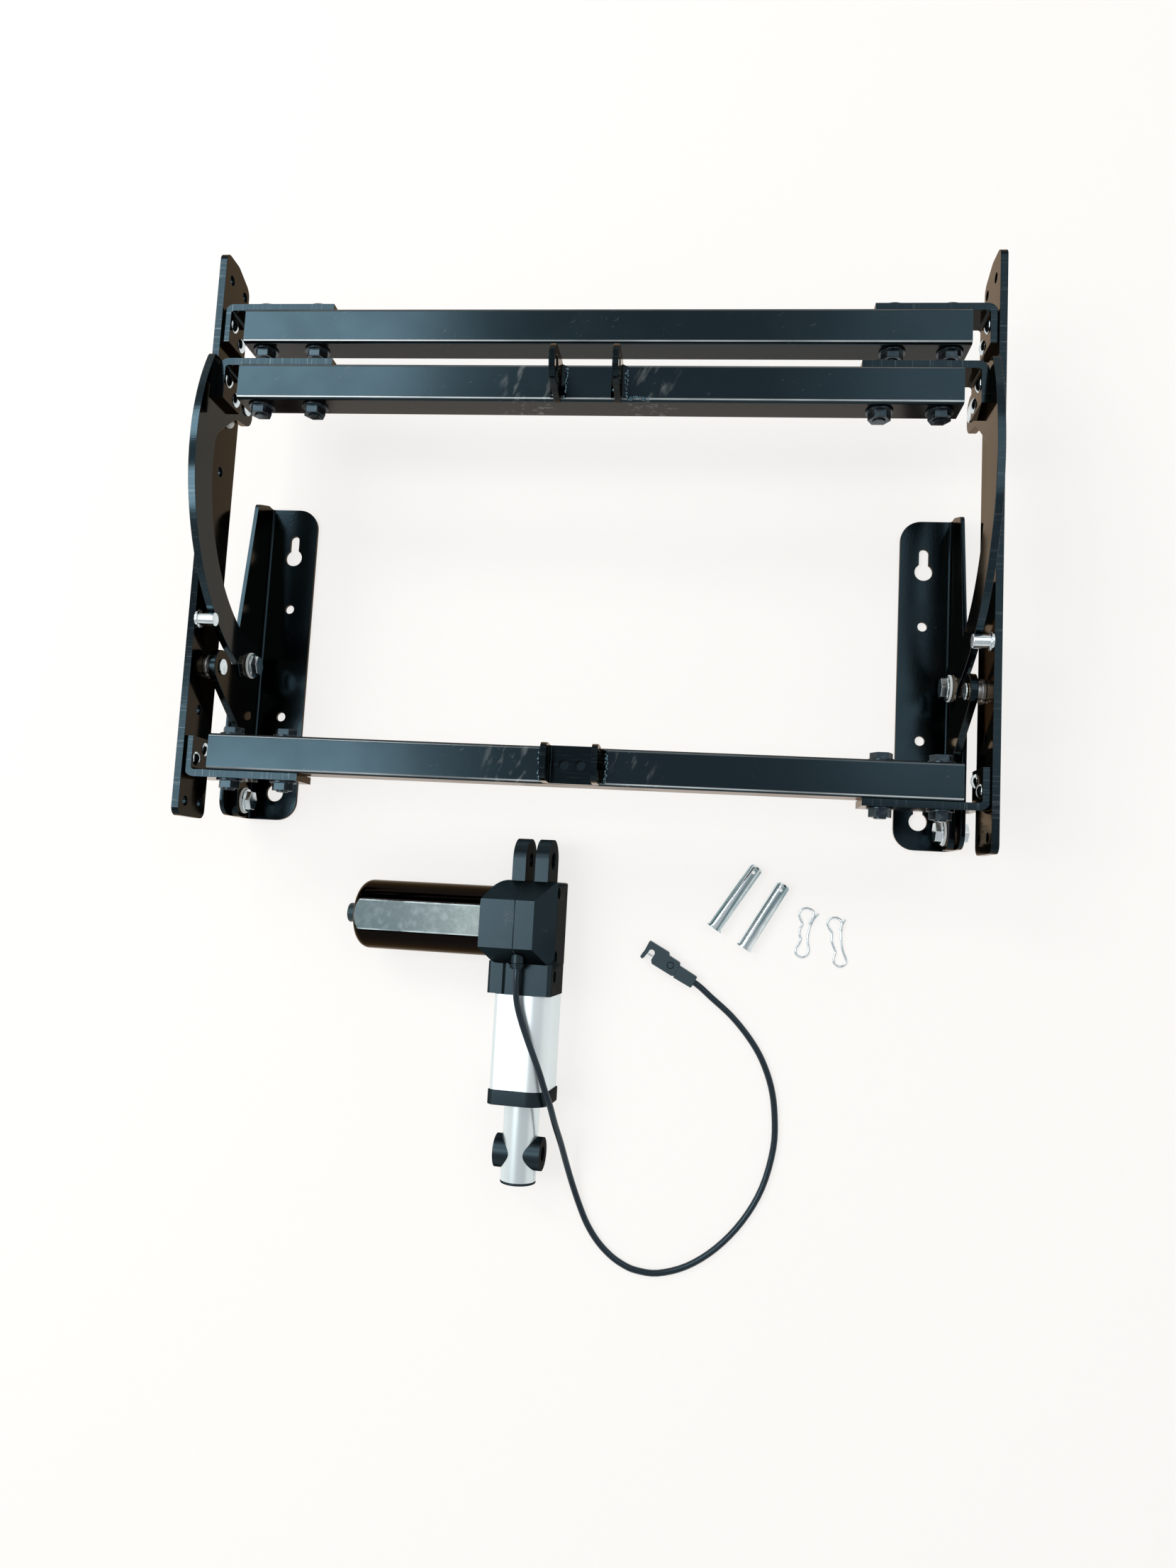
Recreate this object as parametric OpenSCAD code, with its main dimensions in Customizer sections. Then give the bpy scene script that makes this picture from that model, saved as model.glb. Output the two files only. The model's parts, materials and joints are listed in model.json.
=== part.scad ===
// Powered lift mechanism for a sofa bed, lying closed, with its linear actuator beside it.
// Lengths are in millimetres. The part stands on z = 0, x runs across it and y runs from the
// actuator to the far ends of the rails. Places along y are written from the links' lower pivot.

/* [Rails] */
// Width of the frame over the outer faces of the two rails
frame_w = 544; // [520:2:600]
// Length of a rail
rail_len = 403.5; // [395:0.5:430]
// Height of a rail's bar
rail_h = 40; // [38:0.5:44]
// Thickness of the rails, arms, links and corner brackets
plate_t = 5; // [4:0.25:5.5]
// Radius of a rail's rounded corners
rail_corner_r = 6; // [2:0.5:10]
// Diameter of the fixing holes in a rail
rail_hole_d = 7; // [5:0.25:9]
// Distance between the two fixing holes at a rail's end
rail_hole_pitch = 22; // [18:0.5:24]

/* [Pivots] */
// Distance along y from the link's lower pivot to the arm's lower pivot
arm_pivot_y = 101; // [99:0.5:106]
// Height of the arm's lower pivot
arm_pivot_z = 36; // [34:0.5:38]
// Height of the link's lower pivot
link_pivot_z = 27; // [24:0.5:29]
// Distance along y from the link's lower pivot to its upper pivot
link_top_y = 90; // [87:0.5:91]
// Height of the link's upper pivot
link_top_z = 83; // [82:0.5:85]
// Distance along y from the link's lower pivot to the arm's upper pivot
arm_top_y = 282; // [276:0.5:290]
// Height of the arm's upper pivot
arm_top_z = 81; // [80:0.5:83]
// Diameter of the riveted pivot pins
pivot_d = 10; // [8:0.25:11]
// Diameter of a pivot pin's flat head
pivot_head_d = 11.5; // [11:0.5:17]
// Diameter of the steel bushings on the pivot pins
bushing_d = 15; // [13.5:0.5:16]
// Thickness of the black washer beside a bushing
black_washer_t = 2; // [1:0.25:3]
// Thickness of a pivot pin's head
pivot_head_t = 1.25; // [1:0.25:4]

/* [Arms and links] */
// Radius of the round end of a link
link_end_r = 12; // [11:0.5:12.5]
// Distance from an arm's upper pivot to its front edge
arm_front = 14; // [13:0.5:18]
// Diameter of a stop pin
stop_d = 9.5; // [7:0.5:11]
// Distance along y from the arm's lower pivot to the stop pin, roughly
stop_reach = 18; // [14:1:30]
// Diameter of the nylon guide buttons
button_d = 8; // [6:0.25:8.5]

/* [Cross tubes] */
// Side of the square cross tubes
tube_w = 25; // [22:0.5:27]
// Wall of the cross tubes
tube_wall = 2; // [1.5:0.25:3]
// Gap between the end of a rail tube and the corner bracket's short leg
tube_end_gap = 12; // [6:0.5:14]
// Distance from a rail's near end to the rear tube's middle
rear_tube_in = 44.5; // [40:0.5:48]
// Gap between the arm tube and the front tube
front_tube_gap = 27.5; // [26:0.5:34]
// Height of the arm tube's middle above the arm's upper pivot
arm_tube_up = 38.5; // [38:0.5:42]
// Length of a corner bracket's long leg
bracket_long = 80; // [76:1:90]
// Length of a corner bracket's short leg
bracket_short = 28; // [26:0.5:29]
// Height of a corner bracket
bracket_h = 27; // [24:0.5:28]
// Distance from a side plate to the first bolt
bolt_in = 29; // [26:0.5:31]
// Distance between the two bolts of a corner bracket
bolt_pitch = 38; // [30:1:40]
// Diameter of the bolts through tubes and pivots
bolt_d = 8; // [6:0.5:8.5]
// Diameter of a corner bracket rivet
rivet_d = 6; // [4:0.25:6.5]

/* [Actuator brackets] */
// Gap between the two ears on the arm tube
ear_gap = 36; // [35:0.5:44]
// Thickness of the ears and of the rod bracket
ear_t = 4; // [3:0.25:5]
// Height of the ears' hole above the arm tube
ear_hole_up = 25; // [22:0.5:30]
// Gap between the two ears of the rod bracket
fork_gap = 29; // [28:0.5:32]
// Height of the rod bracket's hole above the rear tube
fork_hole_up = 15; // [14:0.5:18]
// Diameter of the holes for the clevis pins
clevis_hole_d = 10.2; // [8.2:0.2:11]

/* [Base brackets] */
// Length of a base bracket
base_len = 246; // [240:1:256]
// Width of a base bracket's foot
base_foot = 40; // [38:0.5:50]
// Thickness of a base bracket
base_t = 3; // [2:0.25:3.5]
// Distance from a base bracket's outer face to its row of holes
base_hole_in = 22.5; // [20:0.5:24]
// Diameter of the round fixing holes in a foot
base_hole_d = 7; // [5:0.25:8]
// Diameter of a keyhole's round opening
keyhole_d = 13; // [11:0.5:15]
// Width of a keyhole's slot
keyhole_slot = 7; // [5:0.25:8]
// Thickness of the spacer washers at the lower pivots
spacer_t = 1; // [0.5:0.25:1.5]
// Thickness of the white nylon washers
nylon_t = 1.5; // [1:0.25:2.5]

/* [Actuator] */
// Side lean of the actuator as it lies on the floor, in degrees
act_lean = 6; // [4:0.5:7]
// Distance from the rear clevis hole to the rod's hole with the rod in
act_closed = 207; // [204:0.5:210]
// Travel of the rod
act_stroke = 50; // [30:1:50]
// Diameter of the rod
rod_d = 25.4; // [24:0.2:26]
// Wall of the rod
rod_wall = 3.2; // [2.5:0.1:3.5]
// Diameter of the lead screw
screw_d = 10; // [8:0.5:12]
// Width of the aluminium tube
profile_w = 41; // [40:0.5:42]
// Height of the aluminium tube
profile_h = 40; // [38:0.5:41]
// Diameter of the motor can
motor_d = 50; // [46:0.5:51]
// Length of the motor can
motor_len = 96.5; // [90:0.5:110]
// Wall of the motor can
motor_wall = 2; // [1.5:0.25:3]
// Height of the motor's axis above the screw's axis
motor_up = 14.5; // [14:0.25:16]
// Width of the slot between the rear clevis prongs
clevis_gap = 7; // [5:0.25:8]
// Thickness of a rear clevis prong
prong_t = 9.7; // [8:0.1:11]
// Radius of a rear clevis prong's round end
prong_r = 15.5; // [13:0.25:16]

/* [Loose fittings] */
// Diameter of the clevis pins
pin_d = 10; // [8:0.1:10]
// Length of a clevis pin
pin_len = 55; // [50:0.5:56]
// Diameter of the clips' wire
wire_d = 1.8; // [1.4:0.1:2]
// Diameter of the cord
cord_d = 4.6; // [4:0.1:5]
// Thickness of the connector
plug_h = 9; // [7:0.25:11]

/* [Hidden] */

$fn = 48;
black = "#17191b";
satin_black = "#26292b";
zinc = "#c3c9cc";
nylon = "#e9eeee";
aluminium = "#dde1e2";
steel = "#8f969a";

// Clearances: a pin that turns, a part that is pressed in, a face that slides, a bolt hole
turn_fit = 0.05;
press_fit = 0.02;
play = 0.1;
bolt_room = 0.3;

// Layers of a side, from the middle of the frame outwards
rail_x1 = frame_w / 2;
rail_x0 = rail_x1 - plate_t;
web_room = 2;
web_x1 = rail_x0 - web_room;
web_x0 = web_x1 - base_t;
plate_x1 = web_x0 - spacer_t;
plate_x0 = plate_x1 - plate_t;

// Pivots as [y, z]
pivot_a = [arm_pivot_y, arm_pivot_z];
pivot_b = [0, link_pivot_z];
pivot_c = [link_top_y, link_top_z];
pivot_d_at = [arm_top_y, arm_top_z];

// Rails
rail_z0 = (link_top_z + arm_top_z) / 2 - 14;
rail_z1 = rail_z0 + rail_h;
rail_y0 = link_top_y - 107.5;
rail_y1 = rail_y0 + rail_len;
end_hole_in = [10.5, 16];
rail_top_chamfer = 20;

// Tubes, each as [y, z] of its middle
rear_tube = [rail_y0 + rear_tube_in, rail_z1 - tube_w / 2];
arm_tube = [arm_top_y - 4, arm_top_z + arm_tube_up];
front_tube = [arm_tube[0] + tube_w + front_tube_gap, rail_z1 - tube_w / 2];
rail_tube_half = rail_x0 - plate_t - tube_end_gap;
arm_tube_half = plate_x0 - plate_t - tube_end_gap + 1;
tube_corner_r = 2.5;
bracket_drop = 3;
bend_r = 2;

// Bolts, nuts and rivets
hex_af = 1.625 * bolt_d;
hex_r = hex_af / sqrt(3);
bolt_head_h = 5.5;
flange_r = 1.1 * bolt_d;
flange_t = 1.4;
nut_h = 6.5;
bolt_over = 1;
dome_r = 1.2 * bolt_d;
dome_h = 0.5 * bolt_d;
washer_r = 1.06 * bolt_d;
rivet_head_r = 0.85 * rivet_d;
rivet_head_h = 2.5;
rivet_split = [4, 6.5];
pin_dome_h = 1.5;

// Base brackets
base_y0 = -12.3;
base_y1 = base_y0 + base_len;
web_low = 31;
web_mid = 47;
web_high = max(50, arm_pivot_z + 14);
foot_corner_r = 15;
foot_holes_y = [68, 153.5];
keyholes_y = [8.5, 195];
keyhole_run = 14;

// Actuator, in its own frame: the screw's axis is local x = 0, z = 0
clevis_y = -33.9;
rod_hole_y = clevis_y - act_closed;
house_y1 = -49;
house_y0 = -108;
collar_y0 = -129.5;
house_left = 28.5;
house_right = 20.7;
house_low = 21;
house_top = max(39, motor_up + motor_d / 2 - 0.5);
collar_top = 20.5;
collar_left = 26.6;
motor_y = -78.8;
motor_r = motor_d / 2;
motor_flat = motor_r - 2.3;
house_grip = 8;
boss_len = 10;
boss_r = 7;
boss_lip_r = 9;
boss_lip = 3;
can_x1 = -house_left + house_grip;
can_x0 = -house_left - motor_len;
act_x = -32.7;
act_z = max(house_low * cos(act_lean) + house_left * sin(act_lean),
    -can_x0 * sin(act_lean) + (motor_r - motor_up) * cos(act_lean));
seam_x = -clevis_gap / 2;
profile_y0 = -196;
cap_len = 10;
cap_y0 = profile_y0 - cap_len;
cap_rim = 1;
rod_r = rod_d / 2;
rod_in_y = -140;
rod_end_y = rod_hole_y - 19;
plug_t = 2;
profile_bore_r = rod_r + 1.3;
worm_r = 4.5;
wheel_r = motor_up - worm_r - 0.3;
wheel_w = 10;
shaft_r = 2.5;
bearing_y = [-66, -61];
bearing_r = 11;
spigot_r = clevis_hole_d / 2 + 2;
bush_r = 11.6;
bush_x = 17;
screw_spots = [[-57, 9], [-102, 9], [-116, 9]];
screw_head_r = 3.4;
screw_shank_r = 1.8;
screw_recess = 6;
screw_head_h = 2.5;
grommet_at = [-2.5, 27];
grommet_r = 6;
grommet_y = [-111, -109.5, -97];

// Whole part: the box of everything but the cord is centred on the origin
y_low = rod_end_y - plug_t;
y_shift = -(y_low + rail_y1) / 2;

// Route of the cord, from the grommet over the actuator and round the floor to the connector
cord_route = [[-38, -111, 50.5], [-38, -118, 50.5], [-37.8, -127, 49.8], [-36.6, -136, 48.6],
    [-33.2, -147, 47.8], [-28.6, -158.4, 47.6], [-23.4, -170, 47.8], [-18.2, -182, 47.8],
    [-14.4, -193, 46.2], [-10.6, -203.5, 43], [-7.4, -218, 33.5], [-3.9, -232.6, 22.5],
    [0, -249, 13], [4.4, -264.4, 6.5], [10, -279.5, 3.4], [16.2, -292.6, 2.6],
    [24.3, -304, 2.5], [33.7, -312.8, 2.5], [43, -318.5, 2.5], [53, -321.9, 2.5],
    [68.7, -322.6, 2.5], [89.1, -316, 2.5], [109.1, -302.1, 2.5], [126.9, -282.1, 2.5],
    [140, -258.1, 2.5], [147, -230, 2.5], [147.1, -206.8, 2.5], [143.9, -187.1, 2.5],
    [136.7, -168.6, 2.5], [127, -153.6, 2.7], [113.7, -138.8, 3.2], [99, -126.6, 4.2],
    [90.5, -119.5, 4.5], [85.63, -116.13, 4.5]];
cord_sides = 10;
plug_at = [68, -104.7];
plug_turn = 151.6;
plug_back = 21;
plug_axis = 1.6;

// Routes of the two clips' wires, as [x, y]; the first points lie on top of the last leg
clip_a = [[166.9, -69.4], [169.6, -65], [170, -61], [168, -58.8], [164.7, -58.1], [161.4, -59.4],
    [159.8, -62.8], [161, -66.4], [162.4, -69.8], [161, -73.2], [160.5, -76.6], [161.5, -81],
    [160.2, -84.6], [158.2, -88.3], [158.9, -92], [163, -93.8], [166.6, -91.8], [167.5, -87.7],
    [166.6, -82], [166.7, -77.5], [168, -71.5], [170.6, -65.6], [173.8, -61.6]];
clip_b = [[189.4, -73.5], [190.3, -69], [189.8, -66], [187.8, -64.3], [185, -63.8], [181.8, -65.2],
    [180.3, -68.4], [181.8, -71.9], [183.8, -75], [183.8, -80.6], [185.2, -84.8], [186.7, -88.6],
    [185.7, -92.5], [186, -96.6], [190, -99], [194, -97], [194.4, -93.6], [191.9, -87.2],
    [190.6, -80], [190.4, -74], [191.3, -68.4], [192.9, -64.8]];

// Points and outlines

function unit(v) = v / norm(v);

function flat(p) = [p[0], p[1]];

function turn_between(a, b) = let (d = b - a) d > 180 ? d - 360 : d < -180 ? d + 360 : d;

// A corner at q between p and s, rounded to radius r
function corner(p, q, s, r) = r <= 0 ? [q] :
    let (a = unit(p - q), b = unit(s - q), half = acos(a * b) / 2, reach = r / tan(half),
        c = q + unit(a + b) * r / sin(half), pa = q + a * reach - c, pb = q + b * reach - c,
        a0 = atan2(pa[1], pa[0]), turn = turn_between(a0, atan2(pb[1], pb[0])),
        n = max(2, ceil(abs(turn) / 12)))
    [for (i = [0:n]) c + r * [cos(a0 + turn * i / n), sin(a0 + turn * i / n)]];

// An outline of corners [u, v, radius]; the radius may be left out for a sharp corner
function rounded(pts) = let (n = len(pts))
    [for (i = [0:n - 1]) each corner(flat(pts[(i + n - 1) % n]), flat(pts[i]),
        flat(pts[(i + 1) % n]), len(pts[i]) > 2 ? pts[i][2] : 0)];

// Centre of the circle through three points
function centre3(a, b, c) =
    let (d = 2 * (a[0] * (b[1] - c[1]) + b[0] * (c[1] - a[1]) + c[0] * (a[1] - b[1])))
    [((a * a) * (b[1] - c[1]) + (b * b) * (c[1] - a[1]) + (c * c) * (a[1] - b[1])) / d,
        ((a * a) * (c[0] - b[0]) + (b * b) * (a[0] - c[0]) + (c * c) * (b[0] - a[0])) / d];

function angle_of(v) = atan2(v[1], v[0]);

function arc_points(c, r, a0, a1, n) =
    [for (i = [0:n]) c + r * [cos(a0 + (a1 - a0) * i / n), sin(a0 + (a1 - a0) * i / n)]];

// The same through three points, in their order
function arc3(a, b, c, n) = let (m = centre3(a, b, c), a0 = angle_of(a - m))
    arc_points(m, norm(a - m), a0, a0 + turn_between(a0, angle_of(c - m)), n);

function rect(w, h, r) = rounded([[-w / 2, -h / 2, r], [w / 2, -h / 2, r], [w / 2, h / 2, r],
    [-w / 2, h / 2, r]]);

// A smooth curve through the route's points, with a given number of steps between two of them
function smooth(pts, steps) = let (n = len(pts))
    [for (i = [0:n - 2]) let (p0 = pts[max(i - 1, 0)], p1 = pts[i], p2 = pts[i + 1],
        p3 = pts[min(i + 2, n - 1)])
        for (k = [0:i == n - 2 ? steps : steps - 1]) let (t = k / steps)
            (2 * p1 + (p2 - p0) * t + (2 * p0 - 5 * p1 + 4 * p2 - p3) * t * t
                + (3 * p1 - p0 - 3 * p2 + p3) * t * t * t) / 2];

// A round tube along a route that never stands upright
module swept(pts, d, sides) {
    n = len(pts);
    rings = [for (i = [0:n - 1])
        let (t = unit(pts[min(i + 1, n - 1)] - pts[max(i - 1, 0)]), u = unit(cross([0, 0, 1], t)),
            v = cross(t, u))
        for (k = [0:sides - 1]) pts[i] + d / 2 * (cos(360 * k / sides) * u + sin(360 * k / sides) * v)];
    faces = concat([[for (k = [0:sides - 1]) k]],
        [for (i = [0:n - 2], k = [0:sides - 1]) let (a = i * sides + k, b = i * sides + (k + 1) % sides)
            each [[a, a + sides, b], [b, a + sides, b + sides]]],
        [[for (k = [sides - 1:-1:0]) (n - 1) * sides + k]]);
    polyhedron(rings, faces);
}

// Placing

module in_place() {
    translate([0, y_shift, 0]) children();
}

module both_sides() {
    children();
    mirror([1, 0, 0]) children();
}

module on_left() {
    mirror([1, 0, 0]) children();
}

// A plate in the yz plane from x0 to x1
module side_plate(outline, x0, x1) {
    translate([x0, 0, 0]) rotate([90, 0, 90]) linear_extrude(x1 - x0) polygon(outline);
}

// Round bar along x at [y, z]
module bar_x(at, r, x0, x1) {
    translate([x0, at[0], at[1]]) rotate([0, 90, 0]) cylinder(r = r, h = x1 - x0);
}

// Round bar along y at [x, z]
module bar_y(at, r, y0, y1) {
    translate([at[0], y0, at[1]]) rotate([-90, 0, 0]) cylinder(r = r, h = y1 - y0);
}

module ring_x(at, r, bore, x0, x1) {
    difference() {
        bar_x(at, r, x0, x1);
        bar_x(at, bore, x0 - 1, x1 + 1);
    }
}

module ring_y(at, r, bore, y0, y1) {
    difference() {
        bar_y(at, r, y0, y1);
        bar_y(at, bore, y0 - 1, y1 + 1);
    }
}

module actuator_frame() {
    translate([act_x, 0, act_z]) rotate([0, -act_lean, 0]) children();
}

// Fasteners, with their shank along +z from z = 0 and the head below it

module flange_bolt(shank) {
    cylinder(r = bolt_d / 2, h = shank);
    translate([0, 0, -flange_t]) cylinder(r = flange_r, h = flange_t);
    translate([0, 0, -bolt_head_h]) cylinder(r = hex_r, h = bolt_head_h, $fn = 6);
}

// A shallow domed head of radius r and height h, below z = 0
module dome_head(r, h) {
    ball = (r * r + h * h) / (2 * h);
    rotate_extrude() polygon(concat([[0, 0]],
        [for (i = [0:8]) let (a = asin(r / ball) * (1 - i / 8)) [ball * sin(a), ball - h - ball * cos(a)]]));
}

module dome_bolt(shank) {
    cylinder(r = bolt_d / 2, h = shank);
    dome_head(dome_r, dome_h);
}

// A flange nut that stands on z = 0
module flange_nut() {
    difference() {
        union() {
            cylinder(r = flange_r, h = flange_t);
            cylinder(r = hex_r, h = nut_h, $fn = 6);
        }
        translate([0, 0, -1]) cylinder(r = bolt_d / 2 + turn_fit, h = nut_h + 2);
    }
}

// Base brackets

web_outline = rounded([[base_y0, 0], [base_y1, 0], [base_y1, 12, 2], [base_y1 - 5.7, web_low, 4],
    [base_y1 - 108, web_mid, 60], [60, web_high, 30], [base_y0, web_high, 12]]);

foot_outline = rounded([[web_x1 - base_foot, base_y0, foot_corner_r], [web_x1 + 1, base_y0],
    [web_x1 + 1, base_y1], [web_x1 - base_foot, base_y1, foot_corner_r]]);

module keyhole(y) {
    translate([web_x1 - base_hole_in, y, -1]) {
        cylinder(r = keyhole_d / 2, h = base_t + 2);
        translate([-keyhole_slot / 2, 0, 0]) cube([keyhole_slot, keyhole_run, base_t + 2]);
        translate([0, keyhole_run, 0]) cylinder(r = keyhole_slot / 2, h = base_t + 2);
    }
}

module base_bracket() {
    color(black) difference() {
        intersection() {
            translate([0, base_y1 + 1, 0]) rotate([90, 0, 0]) linear_extrude(base_len + 2)
                polygon(rounded([[web_x1 - base_foot - 1, 0], [web_x1, 0, base_t + 2],
                    [web_x1, web_high + 1], [web_x0, web_high + 1], [web_x0, base_t, 2],
                    [web_x1 - base_foot - 1, base_t]]));
            side_plate(web_outline, web_x1 - base_foot - 2, web_x1 + 2);
            translate([0, 0, -1]) linear_extrude(web_high + 3) polygon(foot_outline);
        }
        for (p = [pivot_a, pivot_b]) bar_x(p, bolt_d / 2 + bolt_room, web_x0 - 1, web_x1 + 1);
        for (y = foot_holes_y) translate([web_x1 - base_hole_in, y, -1])
            cylinder(r = base_hole_d / 2, h = base_t + 2);
        for (y = keyholes_y) keyhole(y);
    }
}

module left_base_bracket() { in_place() on_left() base_bracket(); }

module right_base_bracket() { in_place() base_bracket(); }

pivot_head_x = plate_x0 - play - nylon_t;

module base_pivot_bolts() {
    color(zinc) in_place() both_sides() for (p = [pivot_a, pivot_b])
        translate([pivot_head_x, p[0], p[1]]) rotate([0, 90, 0])
            flange_bolt(web_x1 + nut_h + bolt_over - pivot_head_x);
}

module base_pivot_nuts() {
    color(zinc) in_place() both_sides() for (p = [pivot_a, pivot_b])
        translate([web_x1, p[0], p[1]]) rotate([0, 90, 0]) flange_nut();
}

module nylon_washers() {
    color(nylon) in_place() both_sides() for (p = [pivot_a, pivot_b])
        ring_x(p, flange_r + 0.8, bolt_d / 2 + turn_fit, pivot_head_x, pivot_head_x + nylon_t);
}

module spacer_washers() {
    color(zinc) in_place() both_sides() for (p = [pivot_a, pivot_b])
        ring_x(p, washer_r, bolt_d / 2 + turn_fit, plate_x1 + play, web_x0);
}

// Arms

// Points of an arm's two long edges, from its two pivots
arm_outer = [pivot_d_at + [12, 54.5], (pivot_a + pivot_d_at) / 2 + [20, 90.5], pivot_a + [-3.5, 21]];
arm_inner = [pivot_a + [20.6, 18], pivot_a + [61, 68], pivot_d_at + [-56, 43.5]];
arm_centre = centre3(arm_outer[0], arm_outer[1], arm_outer[2]);
arm_radius = norm(arm_outer[0] - arm_centre);

arm_outline = rounded(concat(
    [pivot_d_at + [arm_front, 53]],
    arc3(arm_outer[0], arm_outer[1], arm_outer[2], 36),
    [concat(pivot_a + [-12, 17], 4), concat(pivot_a + [-8, -16.5], 9), concat(pivot_a + [17, -16.5], 10)],
    arc3(arm_inner[0], arm_inner[1], arm_inner[2], 28),
    [concat(pivot_d_at + [-38, 42.5], 16), concat(pivot_d_at + [-15, 14], 8),
        concat(pivot_d_at + [-11, -11.5], 10), concat(pivot_d_at + [arm_front, -11.5], 10)]));

function rivet_spots(tube, leg) = [for (s = [-1, 1])
    [tube[0] + leg * (tube_w / 2 + plate_t - bracket_short / 2 - 3 + s * rivet_split[0]),
        bracket_z0(tube) + bracket_h / 2 + s * rivet_split[1]]];

function bracket_z0(tube) = tube[1] + tube_w / 2 - bracket_drop - bracket_h;

module arm() {
    color(black) difference() {
        side_plate(arm_outline, plate_x0, plate_x1);
        bar_x(pivot_a, bolt_d / 2 + turn_fit, plate_x0 - 1, plate_x1 + 1);
        bar_x(pivot_d_at, pivot_d / 2 + turn_fit, plate_x0 - 1, plate_x1 + 1);
        for (p = rivet_spots(arm_tube, 1)) bar_x(p, rivet_d / 2 + press_fit, plate_x0 - 1, plate_x1 + 1);
    }
}

module left_arm() { in_place() on_left() arm(); }

module right_arm() { in_place() arm(); }

// Cross tubes and their corner brackets

function bolt_xs(face_x) = [for (s = [-1, 1], d = [bolt_in, bolt_in + bolt_pitch]) s * (face_x - d)];

module cross_tube(tube, half, face_x) {
    color(black) difference() {
        translate([-half, tube[0], tube[1]]) rotate([90, 0, 90]) linear_extrude(2 * half) difference() {
            polygon(rect(tube_w, tube_w, tube_corner_r));
            polygon(rect(tube_w - 2 * tube_wall, tube_w - 2 * tube_wall, 1));
        }
        for (x = bolt_xs(face_x))
            bar_y([x, tube[1]], bolt_d / 2 + bolt_room, tube[0] - tube_w, tube[0] + tube_w);
    }
}

// leg is 1 where the long leg lies on the tube's far side and -1 on its near side
module corner_bracket(tube, face_x, leg) {
    y_out = tube_w / 2 + plate_t;
    pts = [[face_x - bracket_long, y_out - plate_t], [face_x - bracket_long, y_out],
        [face_x, y_out, bend_r + plate_t], [face_x, y_out - bracket_short],
        [face_x - plate_t, y_out - bracket_short], [face_x - plate_t, y_out - plate_t, bend_r]];
    color(black) difference() {
        translate([0, tube[0], bracket_z0(tube)]) linear_extrude(bracket_h)
            polygon([for (p = rounded(pts)) [p[0], leg * p[1]]]);
        for (d = [bolt_in, bolt_in + bolt_pitch])
            bar_y([face_x - d, tube[1]], bolt_d / 2 + bolt_room, tube[0] - tube_w, tube[0] + tube_w);
        for (p = rivet_spots(tube, leg))
            bar_x(p, rivet_d / 2 + press_fit, face_x - plate_t - 1, face_x + 1);
    }
}

module bracket_rivets(tube, face_x, leg) {
    color(zinc) for (p = rivet_spots(tube, leg))
        translate([face_x - plate_t, p[0], p[1]]) rotate([0, 90, 0]) {
            cylinder(r = rivet_d / 2, h = 2 * plate_t);
            dome_head(rivet_head_r, rivet_head_h);
        }
}

// Faces of a tube's bolt stack along y: under the heads and under the nuts
function head_y(tube, leg) = tube[0] + tube_w / 2 + (leg > 0 ? plate_t : 0);

function nut_y(tube, leg) = tube[0] - tube_w / 2 - (leg < 0 ? plate_t : 0);

module bolts_of(tube, face_x, leg, domed) {
    shank = head_y(tube, leg) - nut_y(tube, leg) + nut_h + bolt_over;
    color(satin_black) for (x = bolt_xs(face_x))
        translate([x, head_y(tube, leg), tube[1]]) rotate([90, 0, 0])
            if (domed) dome_bolt(shank); else flange_bolt(shank);
}

module nuts_of(tube, face_x, leg) {
    color(satin_black) for (x = bolt_xs(face_x))
        translate([x, nut_y(tube, leg), tube[1]]) rotate([90, 0, 0]) flange_nut();
}

module arm_cross_tube() { in_place() cross_tube(arm_tube, arm_tube_half, plate_x0); }

module arm_corner_brackets() { in_place() both_sides() corner_bracket(arm_tube, plate_x0, 1); }

module arm_bracket_rivets() { in_place() both_sides() bracket_rivets(arm_tube, plate_x0, 1); }

module arm_tube_bolts() { in_place() bolts_of(arm_tube, plate_x0, 1, true); }

module arm_tube_nuts() { in_place() nuts_of(arm_tube, plate_x0, 1); }

// Ears for the actuator's rear clevis, welded on the arm tube

ear_hole = [arm_tube[0], arm_tube[1] + tube_w / 2 + ear_hole_up];
ear_top_r = 12;
ear_foot = [-tube_w / 2 - 2.5, tube_w / 2 + 1];
weld = 3.5;

module ear() {
    foot_z = arm_tube[1] + tube_w / 2;
    x0 = ear_gap / 2;
    difference() {
        union() {
            side_plate(concat(rounded([[arm_tube[0] + ear_foot[1], foot_z + 7],
                [arm_tube[0] + ear_foot[1], foot_z, 2], [arm_tube[0] + ear_foot[0], foot_z, 2],
                [arm_tube[0] + ear_foot[0], foot_z + 7]]),
                arc_points(ear_hole, ear_top_r, 172, 8, 14)), x0, x0 + ear_t);
            for (s = [[x0, -1], [x0 + ear_t, 1]])
                translate([s[0], arm_tube[0] + tube_w / 2 - 1.5, foot_z]) rotate([90, 0, 0])
                    linear_extrude(tube_w - 3) polygon([[0, 0], [s[1] * weld, 0], [0, weld]]);
        }
        bar_x(ear_hole, clevis_hole_d / 2, x0 - 1, x0 + ear_t + 1);
    }
}

module actuator_ears() { color(black) in_place() both_sides() ear(); }

// Rails

stop_r = arm_radius + stop_d / 2 + 0.3;
stop_at = let (z = sqrt(stop_r * stop_r - pow(arm_pivot_y + stop_reach - arm_centre[0], 2)))
    [arm_pivot_y + stop_reach, arm_centre[1] + z];
stop_tail_d = 7;
button_at = pivot_d_at + [-13, 4];

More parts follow.
